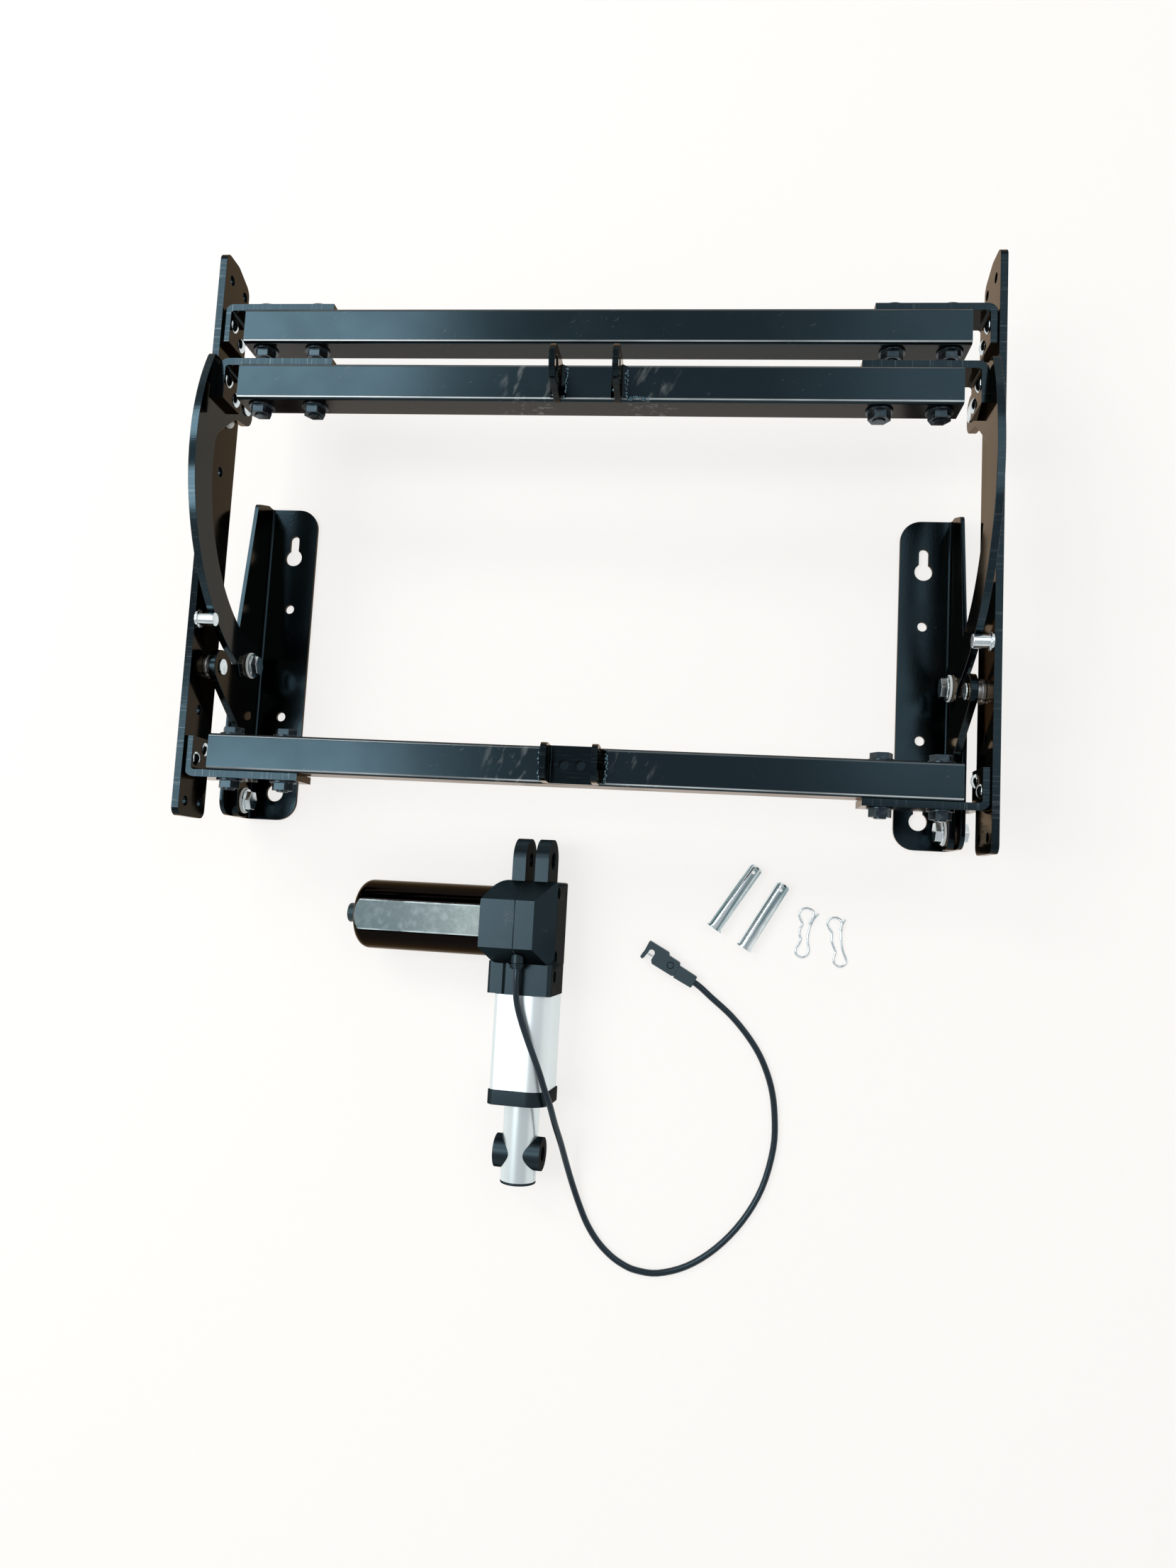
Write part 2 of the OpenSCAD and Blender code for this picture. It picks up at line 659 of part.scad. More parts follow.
rail_holes = [
    [rail_y0 + end_hole_in[0], rail_z0 + rail_h / 2 - 0.5 + rail_hole_pitch / 2],
    [rail_y0 + end_hole_in[0], rail_z0 + rail_h / 2 - 0.5 - rail_hole_pitch / 2],
    [rail_y1 - end_hole_in[1], rail_z0 + rail_h / 2 - 2 + rail_hole_pitch / 2],
    [rail_y1 - end_hole_in[1], rail_z0 + rail_h / 2 - 2 - rail_hole_pitch / 2],
    [rail_y0 + 75, rail_z0 + 22],
    [rail_y0 + 247.5, rail_z0 + 22]];

rail_outline = rounded([[rail_y0, rail_z0, rail_corner_r], [rail_y1 - rail_top_chamfer * 0.4, rail_z0, 8],
    [rail_y1, rail_z0 + rail_top_chamfer, 8], [rail_y1, rail_z1, rail_corner_r],
    [rail_y0, rail_z1, rail_corner_r]]);

module rail() {
    color(black) difference() {
        side_plate(rail_outline, rail_x0, rail_x1);
        for (p = rail_holes) bar_x(p, rail_hole_d / 2, rail_x0 - 1, rail_x1 + 1);
        for (p = [pivot_c, pivot_d_at]) bar_x(p, pivot_d / 2 + press_fit, rail_x0 - 1, rail_x1 + 1);
        for (p = concat(rivet_spots(front_tube, 1), rivet_spots(rear_tube, -1)))
            bar_x(p, rivet_d / 2 + press_fit, rail_x0 - 1, rail_x1 + 1);
        bar_x(stop_at, stop_tail_d / 2 + press_fit, rail_x0 - 1, rail_x1 + 1);
    }
}

module left_rail() { in_place() on_left() rail(); }

module right_rail() { in_place() rail(); }

module front_cross_tube() { in_place() cross_tube(front_tube, rail_tube_half, rail_x0); }

module rear_cross_tube() { in_place() cross_tube(rear_tube, rail_tube_half, rail_x0); }

module rail_corner_brackets() {
    in_place() both_sides() {
        corner_bracket(front_tube, rail_x0, 1);
        corner_bracket(rear_tube, rail_x0, -1);
    }
}

module rail_bracket_rivets() {
    in_place() both_sides() {
        bracket_rivets(front_tube, rail_x0, 1);
        bracket_rivets(rear_tube, rail_x0, -1);
    }
}

module front_tube_bolts() { in_place() bolts_of(front_tube, rail_x0, 1, true); }

module rear_tube_bolts() { in_place() bolts_of(rear_tube, rail_x0, -1, false); }

module rail_tube_nuts() {
    in_place() {
        nuts_of(front_tube, rail_x0, 1);
        nuts_of(rear_tube, rail_x0, -1);
    }
}

// Folded bracket for the rod's end, welded on the rear tube

fork_foot_z = rear_tube[1] + tube_w / 2;
fork_hole = [rear_tube[0], fork_foot_z + fork_hole_up];
fork_out = fork_gap / 2 + ear_t;
fork_h = fork_hole_up + 12;
plug_weld_d = 6.8;
plug_weld_x = 5.5;

module rod_bracket() {
    color(black) in_place() difference() {
        union() {
            intersection() {
                translate([0, rear_tube[0] + tube_w / 2, fork_foot_z]) rotate([90, 0, 0])
                    linear_extrude(tube_w) polygon(rounded([[-fork_out, 0, ear_t + 1], [fork_out, 0, ear_t + 1],
                        [fork_out, fork_h], [fork_gap / 2, fork_h], [fork_gap / 2, ear_t, 1],
                        [-fork_gap / 2, ear_t, 1], [-fork_gap / 2, fork_h], [-fork_out, fork_h]]));
                side_plate(rounded([[rear_tube[0] - tube_w / 2, fork_foot_z - 1],
                    [rear_tube[0] + tube_w / 2, fork_foot_z - 1],
                    [rear_tube[0] + tube_w / 2, fork_foot_z + fork_h, 9],
                    [rear_tube[0] - tube_w / 2, fork_foot_z + fork_h, 9]]), -fork_out - 1, fork_out + 1);
            }
            for (s = [-1, 1]) translate([s * (fork_out - 0.2), rear_tube[0] + tube_w / 2 - 1.5, fork_foot_z])
                rotate([90, 0, 0]) linear_extrude(tube_w - 3)
                    polygon([[-s * 4, 0], [s * weld, 0], [0, weld + 2], [-s * 1, weld + 2]]);
        }
        bar_x(fork_hole, clevis_hole_d / 2, -fork_out - 1, fork_out + 1);
        for (s = [-1, 1]) translate([s * plug_weld_x, rear_tube[0], fork_foot_z - 1])
            cylinder(r = plug_weld_d / 2, h = ear_t + 2);
    }
}

module stop_pins() {
    color(zinc) in_place() both_sides() {
        bar_x(stop_at, stop_tail_d / 2, rail_x0, rail_x1);
        bar_x(stop_at, stop_d / 2, plate_x0 - 2, rail_x0);
        bar_x(stop_at, stop_d / 2 + 1.5, rail_x0 - 2, rail_x0);
    }
}

module guide_buttons() {
    color(nylon) in_place() both_sides() translate([rail_x0 - 2, button_at[0], button_at[1]])
        rotate([0, 90, 0]) {
            cylinder(r = button_d / 2, h = 2);
            dome_head(button_d / 2, 2.5);
        }
}

// Pin through an arm and a rail, with its head inside the arm and a low dome outside the rail
module pivot_tail(at) {
    bar_x(at, pivot_d / 2, rail_x0, rail_x1);
    translate([rail_x1, at[0], at[1]]) rotate([0, -90, 0]) dome_head(0.75 * pivot_d, pin_dome_h);
}

module arm_pivot_pins() {
    color(zinc) in_place() both_sides() {
        bar_x(pivot_d_at, pivot_d / 2, plate_x0 - play - pivot_head_t, rail_x0);
        bar_x(pivot_d_at, pivot_head_d / 2, plate_x0 - play - pivot_head_t, plate_x0 - play);
        pivot_tail(pivot_d_at);
    }
}

bushing_x1 = rail_x0 - black_washer_t;

module arm_pivot_bushings() {
    color(steel) in_place() both_sides()
        ring_x(pivot_d_at, bushing_d / 2, pivot_d / 2 + press_fit, plate_x1 + play, bushing_x1);
}

module arm_pivot_washers() {
    color(satin_black) in_place() both_sides()
        ring_x(pivot_d_at, bushing_d / 2 + 1, pivot_d / 2 + press_fit, bushing_x1, rail_x0);
}

module link_pivot_rivets() { color(zinc) in_place() both_sides() pivot_tail(pivot_c); }

// Links

open_gap = 0.3;

link_outline = rounded(concat(
    [concat(pivot_b + [-12.6, -13.5], 9), concat(pivot_b + [75, 2.5], 15)],
    arc_points(pivot_c, link_end_r, -24, 150, 14),
    [concat(pivot_b + [53, 22.5], 6), concat(pivot_b + [6, 12.8], 60), concat(pivot_b + [-12.6, 11.3], 9)]));

module link() {
    color(black) difference() {
        side_plate(link_outline, plate_x0, plate_x1);
        bar_x(pivot_b, bolt_d / 2 + turn_fit, plate_x0 - 1, plate_x1 + 1);
        bar_x(pivot_c, pivot_d / 2 + press_fit, plate_x0 - 1, plate_x1 + 1);
    }
}

module link_pin() {
    color(zinc) {
        bar_x(pivot_c, pivot_d / 2, plate_x0 - pivot_head_t, rail_x0 - open_gap);
        bar_x(pivot_c, pivot_head_d / 2, plate_x0 - pivot_head_t, plate_x0);
    }
}

module link_bushing() {
    color(steel) union() {
        ring_x(pivot_c, bushing_d / 2, pivot_d / 2 + press_fit, plate_x1, bushing_x1);
        ring_x(pivot_c, bushing_d / 2 + 1, pivot_d / 2 + press_fit, bushing_x1, rail_x0 - open_gap);
    }
}

module left_link() { in_place() on_left() link(); }

module right_link() { in_place() link(); }

module left_link_pin() { in_place() on_left() link_pin(); }

module right_link_pin() { in_place() link_pin(); }

module left_link_bushing() { in_place() on_left() link_bushing(); }

module right_link_bushing() { in_place() link_bushing(); }

// Actuator gearbox

house_side = rounded([[-house_left, -house_low, 2], [house_right, -house_low, 3],
    [house_right, house_top - 26], [house_right - 10.3, house_top], [-house_left, house_top]]);

house_cut = rounded([[house_y0, -house_low], [house_y1, -house_low, 2], [house_y1, house_top - 24, 2],
    [house_y1 - 14, house_top], [house_y0 + 11.5, house_top], [house_y0, collar_top - 0.5]]);

// The house narrows around the motor can at its left end
house_plan = rounded([[-house_left, house_y0 + 10.5, 5], [-house_left + 6.5, house_y0, 4],
    [house_right, house_y0], [house_right, house_y1, 2], [-house_left + 6, house_y1, 11],
    [-house_left, house_y1 - 15, 14]]);

collar_side = rounded([[-collar_left, -house_low + 1, 3], [house_right, -house_low + 1, 3],
    [house_right, collar_top, 3], [-12.4, collar_top, 1], [-15.4, collar_top - 3, 1],
    [-collar_left, collar_top - 3, 3]]);

// A solid along y with its outline in the local xz plane
module along_y(outline, y0, y1) {
    translate([0, y1, 0]) rotate([90, 0, 0]) linear_extrude(y1 - y0) polygon(outline);
}

module house_solid() {
    intersection() {
        along_y(house_side, house_y0 - 1, house_y1 + 1);
        side_plate(house_cut, -house_left - 1, house_right + 1);
        translate([0, 0, -house_low - 1]) linear_extrude(house_low + house_top + 2) polygon(house_plan);
    }
    along_y(collar_side, collar_y0, house_y0 + 1);
    for (s = [-1, 1]) side_plate(rounded([[house_y1 - 3, -prong_r], [clevis_y, -prong_r], [clevis_y, prong_r],
        [house_y1 - 3, prong_r]]), s > 0 ? clevis_gap / 2 : -clevis_gap / 2 - prong_t,
        s > 0 ? clevis_gap / 2 + prong_t : -clevis_gap / 2);
    for (s = [-1, 1]) bar_x([clevis_y, 0], prong_r, s > 0 ? clevis_gap / 2 : -clevis_gap / 2 - prong_t,
        s > 0 ? clevis_gap / 2 + prong_t : -clevis_gap / 2);
}

clevis_out = clevis_gap / 2 + prong_t;
worm_x = [-9, 11];
wheel_y = [motor_y - wheel_w / 2, motor_y + wheel_w / 2];

module house_hollow() {
    bar_x([clevis_y, 0], clevis_hole_d / 2, -clevis_out - 1, clevis_out + 1);
    for (s = [-1, 1]) bar_x([clevis_y, 0], clevis_hole_d / 2 + 1.5, s > 0 ? clevis_out - 0.6 : -clevis_out - 1,
        s > 0 ? clevis_out + 1 : -clevis_out + 0.6);
    bar_y([0, 0], wheel_r + 0.8, wheel_y[0] - 1, wheel_y[1] + 1);
    bar_y([0, 0], bearing_r + press_fit, bearing_y[0], bearing_y[1]);
    bar_y([0, 0], screw_d / 2 + 0.5, collar_y0 - 1, bearing_y[1] + 1);
    motor_turned([[0, -can_x1], [motor_r + press_fit, -can_x1], [motor_r + press_fit, house_left + 1],
        [0, house_left + 1]], motor_flat + press_fit);
    bar_x([motor_y, motor_up], worm_r + 0.5, worm_x[0] - 1, worm_x[1] + 1);
    bar_x([motor_y, motor_up], shaft_r + turn_fit, -house_left - 1, worm_x[1] + 3);
    bar_y(grommet_at, grommet_r - 1 + press_fit, house_y0 - 1, grommet_y[2]);
    for (p = screw_spots) {
        bar_x(p, screw_shank_r + press_fit, -14, house_right + 1);
        bar_x(p, screw_head_r + 0.8, house_right - screw_recess, house_right + 1);
    }
}

module gearbox_motor_half() {
    color(satin_black) in_place() actuator_frame() difference() {
        house_solid();
        house_hollow();
        translate([seam_x, -200, -100]) cube([100, 200, 200]);
    }
}

module gearbox_cover_half() {
    color(satin_black) in_place() actuator_frame() difference() {
        house_solid();
        house_hollow();
        translate([seam_x - 100, -200, -100]) cube([100, 200, 200]);
    }
}

module cover_screws() {
    color(steel) in_place() actuator_frame() for (p = screw_spots) difference() {
        union() {
            bar_x(p, screw_shank_r, -13, house_right - screw_recess);
            bar_x(p, screw_head_r, house_right - screw_recess, house_right - screw_recess + screw_head_h);
        }
        translate([house_right - screw_recess + 1.2, p[0] - 0.4, p[1] - 2]) cube([2, 0.8, 4]);
        translate([house_right - screw_recess + 1.2, p[0] - 2, p[1] - 0.4]) cube([2, 4, 0.8]);
    }
}

// Motor

can_round = 8;

// A body of revolution about the motor's axis, less the flat on top
module motor_turned(outline, flat_z) {
    intersection() {
        translate([0, motor_y, motor_up]) rotate([0, -90, 0]) rotate_extrude($fn = 64) polygon(outline);
        translate([can_x0 - 20, motor_y - motor_r - 1, motor_up - motor_r - 1])
            cube([motor_len + 40, motor_d + 2, motor_r + flat_z + 1]);
    }
}

module motor_can() {
    end_bore = 7;
    color(black) in_place() actuator_frame() difference() {
        motor_turned(rounded([[0, -can_x1], [motor_r, -can_x1], [motor_r, -can_x0, can_round], [0, -can_x0]]),
            motor_flat);
        motor_turned(rounded([[0, -can_x1 - 1], [motor_r - motor_wall, -can_x1 - 1],
            [motor_r - motor_wall, -can_x0 - motor_wall, can_round - motor_wall],
            [0, -can_x0 - motor_wall]]), motor_flat - motor_wall);
        bar_x([motor_y, motor_up], end_bore + press_fit, can_x0 - 1, can_x0 + 10);
    }
}

module motor_end_bearing() {
    color(steel) in_place() actuator_frame() difference() {
        union() {
            bar_x([motor_y, motor_up], boss_r, can_x0 - boss_len, can_x0 + motor_wall);
            bar_x([motor_y, motor_up], boss_lip_r, can_x0 + motor_wall, can_x0 + motor_wall + boss_lip);
        }
        bar_x([motor_y, motor_up], shaft_r + turn_fit, can_x0 - 3, can_x0 + motor_wall + boss_lip + 1);
    }
}

core_r = motor_r - motor_wall - 4.5;
magnet_r = motor_r - motor_wall - press_fit;
core_x = [can_x0 + 22, can_x0 + 72];

module motor_magnets() {
    color(steel) in_place() actuator_frame() for (s = [-1, 1]) intersection() {
        difference() {
            bar_x([motor_y, motor_up], magnet_r, core_x[0] - 3, core_x[1] + 3);
            bar_x([motor_y, motor_up], core_r + 0.6, core_x[0] - 4, core_x[1] + 4);
        }
        side_plate([[motor_y, motor_up], [motor_y + s * 40, motor_up - 32], [motor_y + s * 40, motor_up + 32]],
            core_x[0] - 3, core_x[1] + 3);
    }
}

module motor_armature() {
    color("#a0673a") in_place() actuator_frame() {
        bar_x([motor_y, motor_up], shaft_r, can_x0 - 2.5, worm_x[1] + 2);
        bar_x([motor_y, motor_up], core_r, core_x[0], core_x[1]);
        bar_x([motor_y, motor_up], core_r - 4, core_x[0] - 6, core_x[1] + 6);
        bar_x([motor_y, motor_up], 8, core_x[1], core_x[1] + 18);
    }
}

module motor_worm() {
    color(steel) in_place() actuator_frame()
        ring_x([motor_y, motor_up], worm_r, shaft_r + press_fit, worm_x[0], worm_x[1]);
}

// Screw, rod and tube

screw_y = [profile_y0, bearing_y[1]];

module lead_screw() {
    color(steel) in_place() actuator_frame() bar_y([0, 0], screw_d / 2, screw_y[0], screw_y[1]);
}

module worm_wheel() {
    color(nylon) in_place() actuator_frame()
        ring_y([0, 0], wheel_r, screw_d / 2 + press_fit, wheel_y[0], wheel_y[1]);
}

module screw_bearing() {
    color(steel) in_place() actuator_frame()
        ring_y([0, 0], bearing_r, screw_d / 2 + turn_fit, bearing_y[0], bearing_y[1]);
}

profile_outline = rounded([[-profile_w / 2, -profile_h / 2, 5], [profile_w / 2, -profile_h / 2, 5],
    [profile_w / 2, profile_h / 2, 14], [-profile_w / 2, profile_h / 2, 5]]);

module actuator_tube() {
    color(aluminium) in_place() actuator_frame() difference() {
        along_y(profile_outline, profile_y0, collar_y0);
        bar_y([0, 0], profile_bore_r, profile_y0 - 1, collar_y0 + 1);
    }
}

module tube_end_cap() {
    w = profile_w + 2 * cap_rim;
    h = profile_h + 2 * cap_rim;
    color(satin_black) in_place() actuator_frame() difference() {
        union() {
            along_y(rounded([[-w / 2, -h / 2, 6], [w / 2, -h / 2, 6], [w / 2, h / 2, 15], [-w / 2, h / 2, 6]]),
                cap_y0, profile_y0);
            bar_y([0, 0], profile_bore_r - press_fit, profile_y0, profile_y0 + 4);
        }
        bar_y([0, 0], rod_r + turn_fit, cap_y0 - 1, profile_y0 + 5);
    }
}

module actuator_rod() {
    color(aluminium) in_place() actuator_frame() difference() {
        ring_y([0, 0], rod_r, rod_r - rod_wall, rod_end_y, rod_in_y);
        bar_x([rod_hole_y, 0], spigot_r + press_fit, -rod_r - 1, rod_r + 1);
    }
}

module drive_nut() {
    color(nylon) in_place() actuator_frame() difference() {
        union() {
            bar_y([0, 0], rod_r - rod_wall - press_fit, rod_in_y - 16, rod_in_y);
            bar_y([0, 0], rod_r + 0.8, rod_in_y, rod_in_y + 4);
        }
        bar_y([0, 0], screw_d / 2 + turn_fit, rod_in_y - 17, rod_in_y + 5);
    }
}

module rod_end_plug() {
    color(satin_black) in_place() actuator_frame() {
        bar_y([0, 0], rod_r, rod_end_y - plug_t, rod_end_y);
        bar_y([0, 0], rod_r - rod_wall - press_fit, rod_end_y, rod_end_y + 7);
    }
}

module rod_bushes() {
    color(satin_black) in_place() actuator_frame() for (s = [0, 180]) rotate([0, s, 0]) difference() {
        union() {
            difference() {
                bar_x([rod_hole_y, 0], bush_r, 5, bush_x);
                bar_y([0, 0], rod_r + press_fit, rod_hole_y - 20, rod_hole_y + 20);
            }
            bar_x([rod_hole_y, 0], spigot_r, rod_r - rod_wall - 3, rod_r + 1);
        }
        bar_x([rod_hole_y, 0], clevis_hole_d / 2, 0, bush_x + 1);
    }
}

// Cord and its connector

module cord_grommet() {
    color(black) in_place() actuator_frame() {
        bar_y(grommet_at, grommet_r - 1, grommet_y[1], grommet_y[2]);
        bar_y(grommet_at, cord_d / 2 + 1.5, grommet_y[0], grommet_y[1]);
    }
}

module power_cord() {
    color(black) in_place() swept(smooth(cord_route, 2), cord_d, cord_sides);
}

module plug_frame() {
    translate([plug_at[0], plug_at[1], 0]) rotate([0, 0, plug_turn]) children();
}

module connector_tail() {
    color(satin_black) in_place() plug_frame() linear_extrude(plug_h)
        polygon(rounded([[-plug_back, plug_axis - 4.6, 1], [-6, plug_axis - 4.9], [-6, plug_axis + 4.9],
            [-plug_back, plug_axis + 4.6, 1]]));
}

module connector_hook() {
    color(satin_black) in_place() plug_frame() difference() {
        linear_extrude(plug_h) polygon(rounded([[-6, -5.4, 2], [4, -5.6], [5.5, -7.6], [22, -7.6, 1],
            [21.6, 0], [22.3, 6.6, 1.4], [19.6, 6.6, 1.2], [18.6, 1, 2], [18.7, -2.9, 2.3], [14, -2.9, 2.3],
            [14, 4, 1], [12.2, 6.2, 1], [-6, 6.2, 2]]));
        translate([0, 0, plug_h - 0.6]) difference() {
            cylinder(r = 2.6, h = 1);
            cylinder(r = 2.1, h = 3, center = true);
        }
    }
}

module connector_contact() {
    color(zinc) in_place() plug_frame() translate([14.3, 0.8, plug_h / 2 - 1.5]) cube([4, 1.2, 3]);
}

// Loose clevis pins and clips

pin_places = [[98.2, -76.4, 57.2], [120.4, -89.5, 60]];
pin_head_r = pin_d / 2 + 1;
pin_head_t = 1.2;
pin_hole_d = 2.6;
pin_tip = asin(1 / pin_len);

module clevis_pins() {
    color(zinc) in_place() for (p = pin_places)
        translate([p[0], p[1], pin_head_r]) rotate([0, 90 + pin_tip, p[2]]) difference() {
            union() {
                cylinder(r = pin_d / 2, h = pin_len - 1.5);
                translate([0, 0, pin_len - 1.5]) rotate_extrude() polygon([[0, 0], [pin_d / 2, 0],
                    [pin_d / 2 - 1.2, 1.5], [0, 1.5]]);
                cylinder(r = pin_head_r, h = pin_head_t);
            }
            translate([0, 0, pin_len - 5]) rotate([0, 90, 0]) cylinder(r = pin_hole_d / 2, h = 2 * pin_d, center = true);
        }
}

// The wire's height: the first leg lies on the last one, then the wire comes down to the floor
function wire_z(i) = wire_d / 2 + (i < 3 ? wire_d + 0.3 : i < 6 ? (wire_d + 0.3) * (6 - i) / 4 : 0);

module r_clips() {
    color(zinc) in_place() for (route = [clip_a, clip_b])
        swept(smooth([for (i = [0:len(route) - 1]) [route[i][0], route[i][1], wire_z(i)]], 3), wire_d, 8);
}

left_base_bracket();
right_base_bracket();
base_pivot_bolts();
base_pivot_nuts();
nylon_washers();
spacer_washers();
gearbox_motor_half();
gearbox_cover_half();
cover_screws();
motor_can();
motor_end_bearing();
motor_magnets();
actuator_tube();
tube_end_cap();
screw_bearing();
cord_grommet();
power_cord();
connector_tail();
connector_hook();
connector_contact();
clevis_pins();
r_clips();
motor_armature();
motor_worm();
lead_screw();
worm_wheel();
actuator_rod();
drive_nut();
rod_end_plug();
rod_bushes();
left_arm();
right_arm();
arm_cross_tube();
arm_corner_brackets();
arm_bracket_rivets();
arm_tube_bolts();
arm_tube_nuts();
actuator_ears();
left_rail();
right_rail();
front_cross_tube();
rear_cross_tube();
rail_corner_brackets();
rail_bracket_rivets();
front_tube_bolts();
rear_tube_bolts();
rail_tube_nuts();
rod_bracket();
stop_pins();
guide_buttons();
arm_pivot_pins();
arm_pivot_bushings();
arm_pivot_washers();
link_pivot_rivets();
left_link();
right_link();
left_link_pin();
right_link_pin();
left_link_bushing();
right_link_bushing();
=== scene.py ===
import json
from math import cos, pi, radians, sin

import bmesh
import bpy
from mathutils import Euler, Matrix, Vector


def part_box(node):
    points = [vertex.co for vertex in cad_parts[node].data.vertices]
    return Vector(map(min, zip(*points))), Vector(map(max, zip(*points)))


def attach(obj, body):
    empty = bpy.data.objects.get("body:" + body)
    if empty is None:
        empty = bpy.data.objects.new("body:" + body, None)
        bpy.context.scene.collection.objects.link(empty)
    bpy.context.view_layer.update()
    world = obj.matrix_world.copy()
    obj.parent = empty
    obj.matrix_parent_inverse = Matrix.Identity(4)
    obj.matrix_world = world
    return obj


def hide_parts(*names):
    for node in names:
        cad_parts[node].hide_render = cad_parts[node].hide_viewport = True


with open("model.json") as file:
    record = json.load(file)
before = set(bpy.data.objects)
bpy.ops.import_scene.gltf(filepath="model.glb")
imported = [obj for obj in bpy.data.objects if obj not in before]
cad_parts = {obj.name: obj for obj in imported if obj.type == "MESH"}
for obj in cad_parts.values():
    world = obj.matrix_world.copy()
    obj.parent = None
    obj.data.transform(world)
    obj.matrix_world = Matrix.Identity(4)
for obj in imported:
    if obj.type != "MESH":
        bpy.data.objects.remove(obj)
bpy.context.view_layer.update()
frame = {"nodes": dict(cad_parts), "record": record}
print("stage: frame loaded")

mm = 0.001
railEndY = 386   # the rails' end in the drawing, in millimetres past the links' lower pivot
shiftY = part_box("left_rail")[1].y - railEndY * mm
bodyOf = {node: body for body, nodes in frame["record"]["behaviour"]["bodies"].items() for node in nodes}
slotOf = {part["node"]: part["material_slot"] for part in frame["record"]["subparts"]}


def place(x, y, z):
    # a point of the drawing, in millimetres, as a point of the frame in metres
    return Vector((x * mm, y * mm + shiftY, z * mm))


def smoothPath(points, steps):
    # a curve through every point, with that many steps from one to the next
    path = []
    for i in range(len(points) - 1):
        before, start = points[max(i - 1, 0)], points[i]
        end, after = points[i + 1], points[min(i + 2, len(points) - 1)]
        for k in range(steps):
            t = k / steps
            path.append((2 * start + (end - before) * t + (2 * before - 5 * start + 4 * end - after) * t ** 2
                         + (3 * start - before - 3 * end + after) * t ** 3) / 2)
    return path + [points[-1]]


def pathLength(path):
    return sum((b - a).length for a, b in zip(path, path[1:]))


# The camera stands where the photograph was taken from; its focus is in pixels of the whole image
view = {"at": (82.45, -54.36, 810.86), "turn": (0.099, 0.101, 0.043), "focus": 1531.65, "imageHeight": 2212,
        "sensor": 36, "nearest": 0.01}

cameraData = bpy.data.cameras.new("camera")
cameraData.sensor_fit = "VERTICAL"
cameraData.sensor_height = view["sensor"]
cameraData.lens = view["focus"] / view["imageHeight"] * view["sensor"]
cameraData.clip_start = view["nearest"]
camera = bpy.data.objects.new("camera", cameraData)
bpy.context.scene.collection.objects.link(camera)
camera.matrix_world = Matrix.Translation(place(*view["at"])) @ Euler(view["turn"], "ZYX").to_matrix().to_4x4()
bpy.context.scene.camera = camera


# Shader maths: a wrapped socket takes part in Python expressions
class Link:
    def __init__(self, tree, socket):
        self.tree = tree
        self.socket = socket

    def maths(self, operation, first, second=0.0):
        return self.tree.node("ShaderNodeMath", {"operation": operation}, {0: first, 1: second})

    def __add__(self, other):
        return self.maths("ADD", self, other)

    def __radd__(self, other):
        return self.maths("ADD", other, self)

    def __sub__(self, other):
        return self.maths("SUBTRACT", self, other)

    def __rsub__(self, other):
        return self.maths("SUBTRACT", other, self)

    def __mul__(self, other):
        return self.maths("MULTIPLY", self, other)

    def __rmul__(self, other):
        return self.maths("MULTIPLY", other, self)

    def __gt__(self, other):
        return self.maths("GREATER_THAN", self, other)

    def __lt__(self, other):
        return self.maths("LESS_THAN", self, other)

    def __abs__(self):
        return self.maths("ABSOLUTE", self)


class Tree:
    def __init__(self, nodeTree):
        self.tree = nodeTree

    # any node: its type, its settings, then the values or links of its sockets
    def node(self, kind, settings=None, inputs=None, output=0):
        node = self.tree.nodes.new(kind)
        for key, value in (settings or {}).items():
            setattr(node, key, value)
        for key, value in (inputs or {}).items():
            if isinstance(value, Link):
                self.tree.links.new(value.socket, node.inputs[key])
            else:
                node.inputs[key].default_value = value
        return Link(self, node.outputs[output]) if len(node.outputs) else node


class Finish(Tree):
    def __init__(self, name):
        self.material = bpy.data.materials.new(name)
        self.material.use_nodes = True
        super().__init__(self.material.node_tree)
        self.tree.nodes.clear()
        self.coords = self.node("ShaderNodeTexCoord", output="Object")

    def noise(self, scale, stretch=(1, 1, 1), detail=2.0, turn=(0, 0, 0)):
        # stretch is how many times longer the grain is along each axis of the turned pattern
        spot = self.node("ShaderNodeMapping", {"vector_type": "TEXTURE"},
                         {"Vector": self.coords, "Scale": stretch, "Rotation": turn})
        return self.node("ShaderNodeTexNoise", {}, {"Vector": spot, "Scale": scale, "Detail": detail})

    def specks(self, scale, size):
        spot = self.node("ShaderNodeTexVoronoi", {}, {"Vector": self.coords, "Scale": scale})
        return spot < size

    def ramp(self, value, low, high):
        return self.node("ShaderNodeMapRange", {}, {"Value": value, "From Min": low, "From Max": high})

    def mix(self, factor, first, second):
        # sockets 6 and 7 take the two colours, and output 2 gives the mixed one
        return self.node("ShaderNodeMix", {"data_type": "RGBA"}, {0: factor, 6: first, 7: second}, 2)

    def normalPart(self, axis):
        normal = self.node("ShaderNodeTexCoord", output="Normal")
        return self.node("ShaderNodeSeparateXYZ", {}, {0: normal}, axis)

    def part(self, axis):
        return self.node("ShaderNodeSeparateXYZ", {}, {0: self.coords}, axis)

    def bump(self, height, depth, under=None):
        inputs = {"Height": height, "Distance": depth, "Strength": 1.0}
        if under:
            inputs["Normal"] = under
        return self.node("ShaderNodeBump", {}, inputs)

    def close(self, inputs):
        shader = self.node("ShaderNodeBsdfPrincipled", {}, inputs)
        self.node("ShaderNodeOutputMaterial", {}, {"Surface": shader})
        return self.material


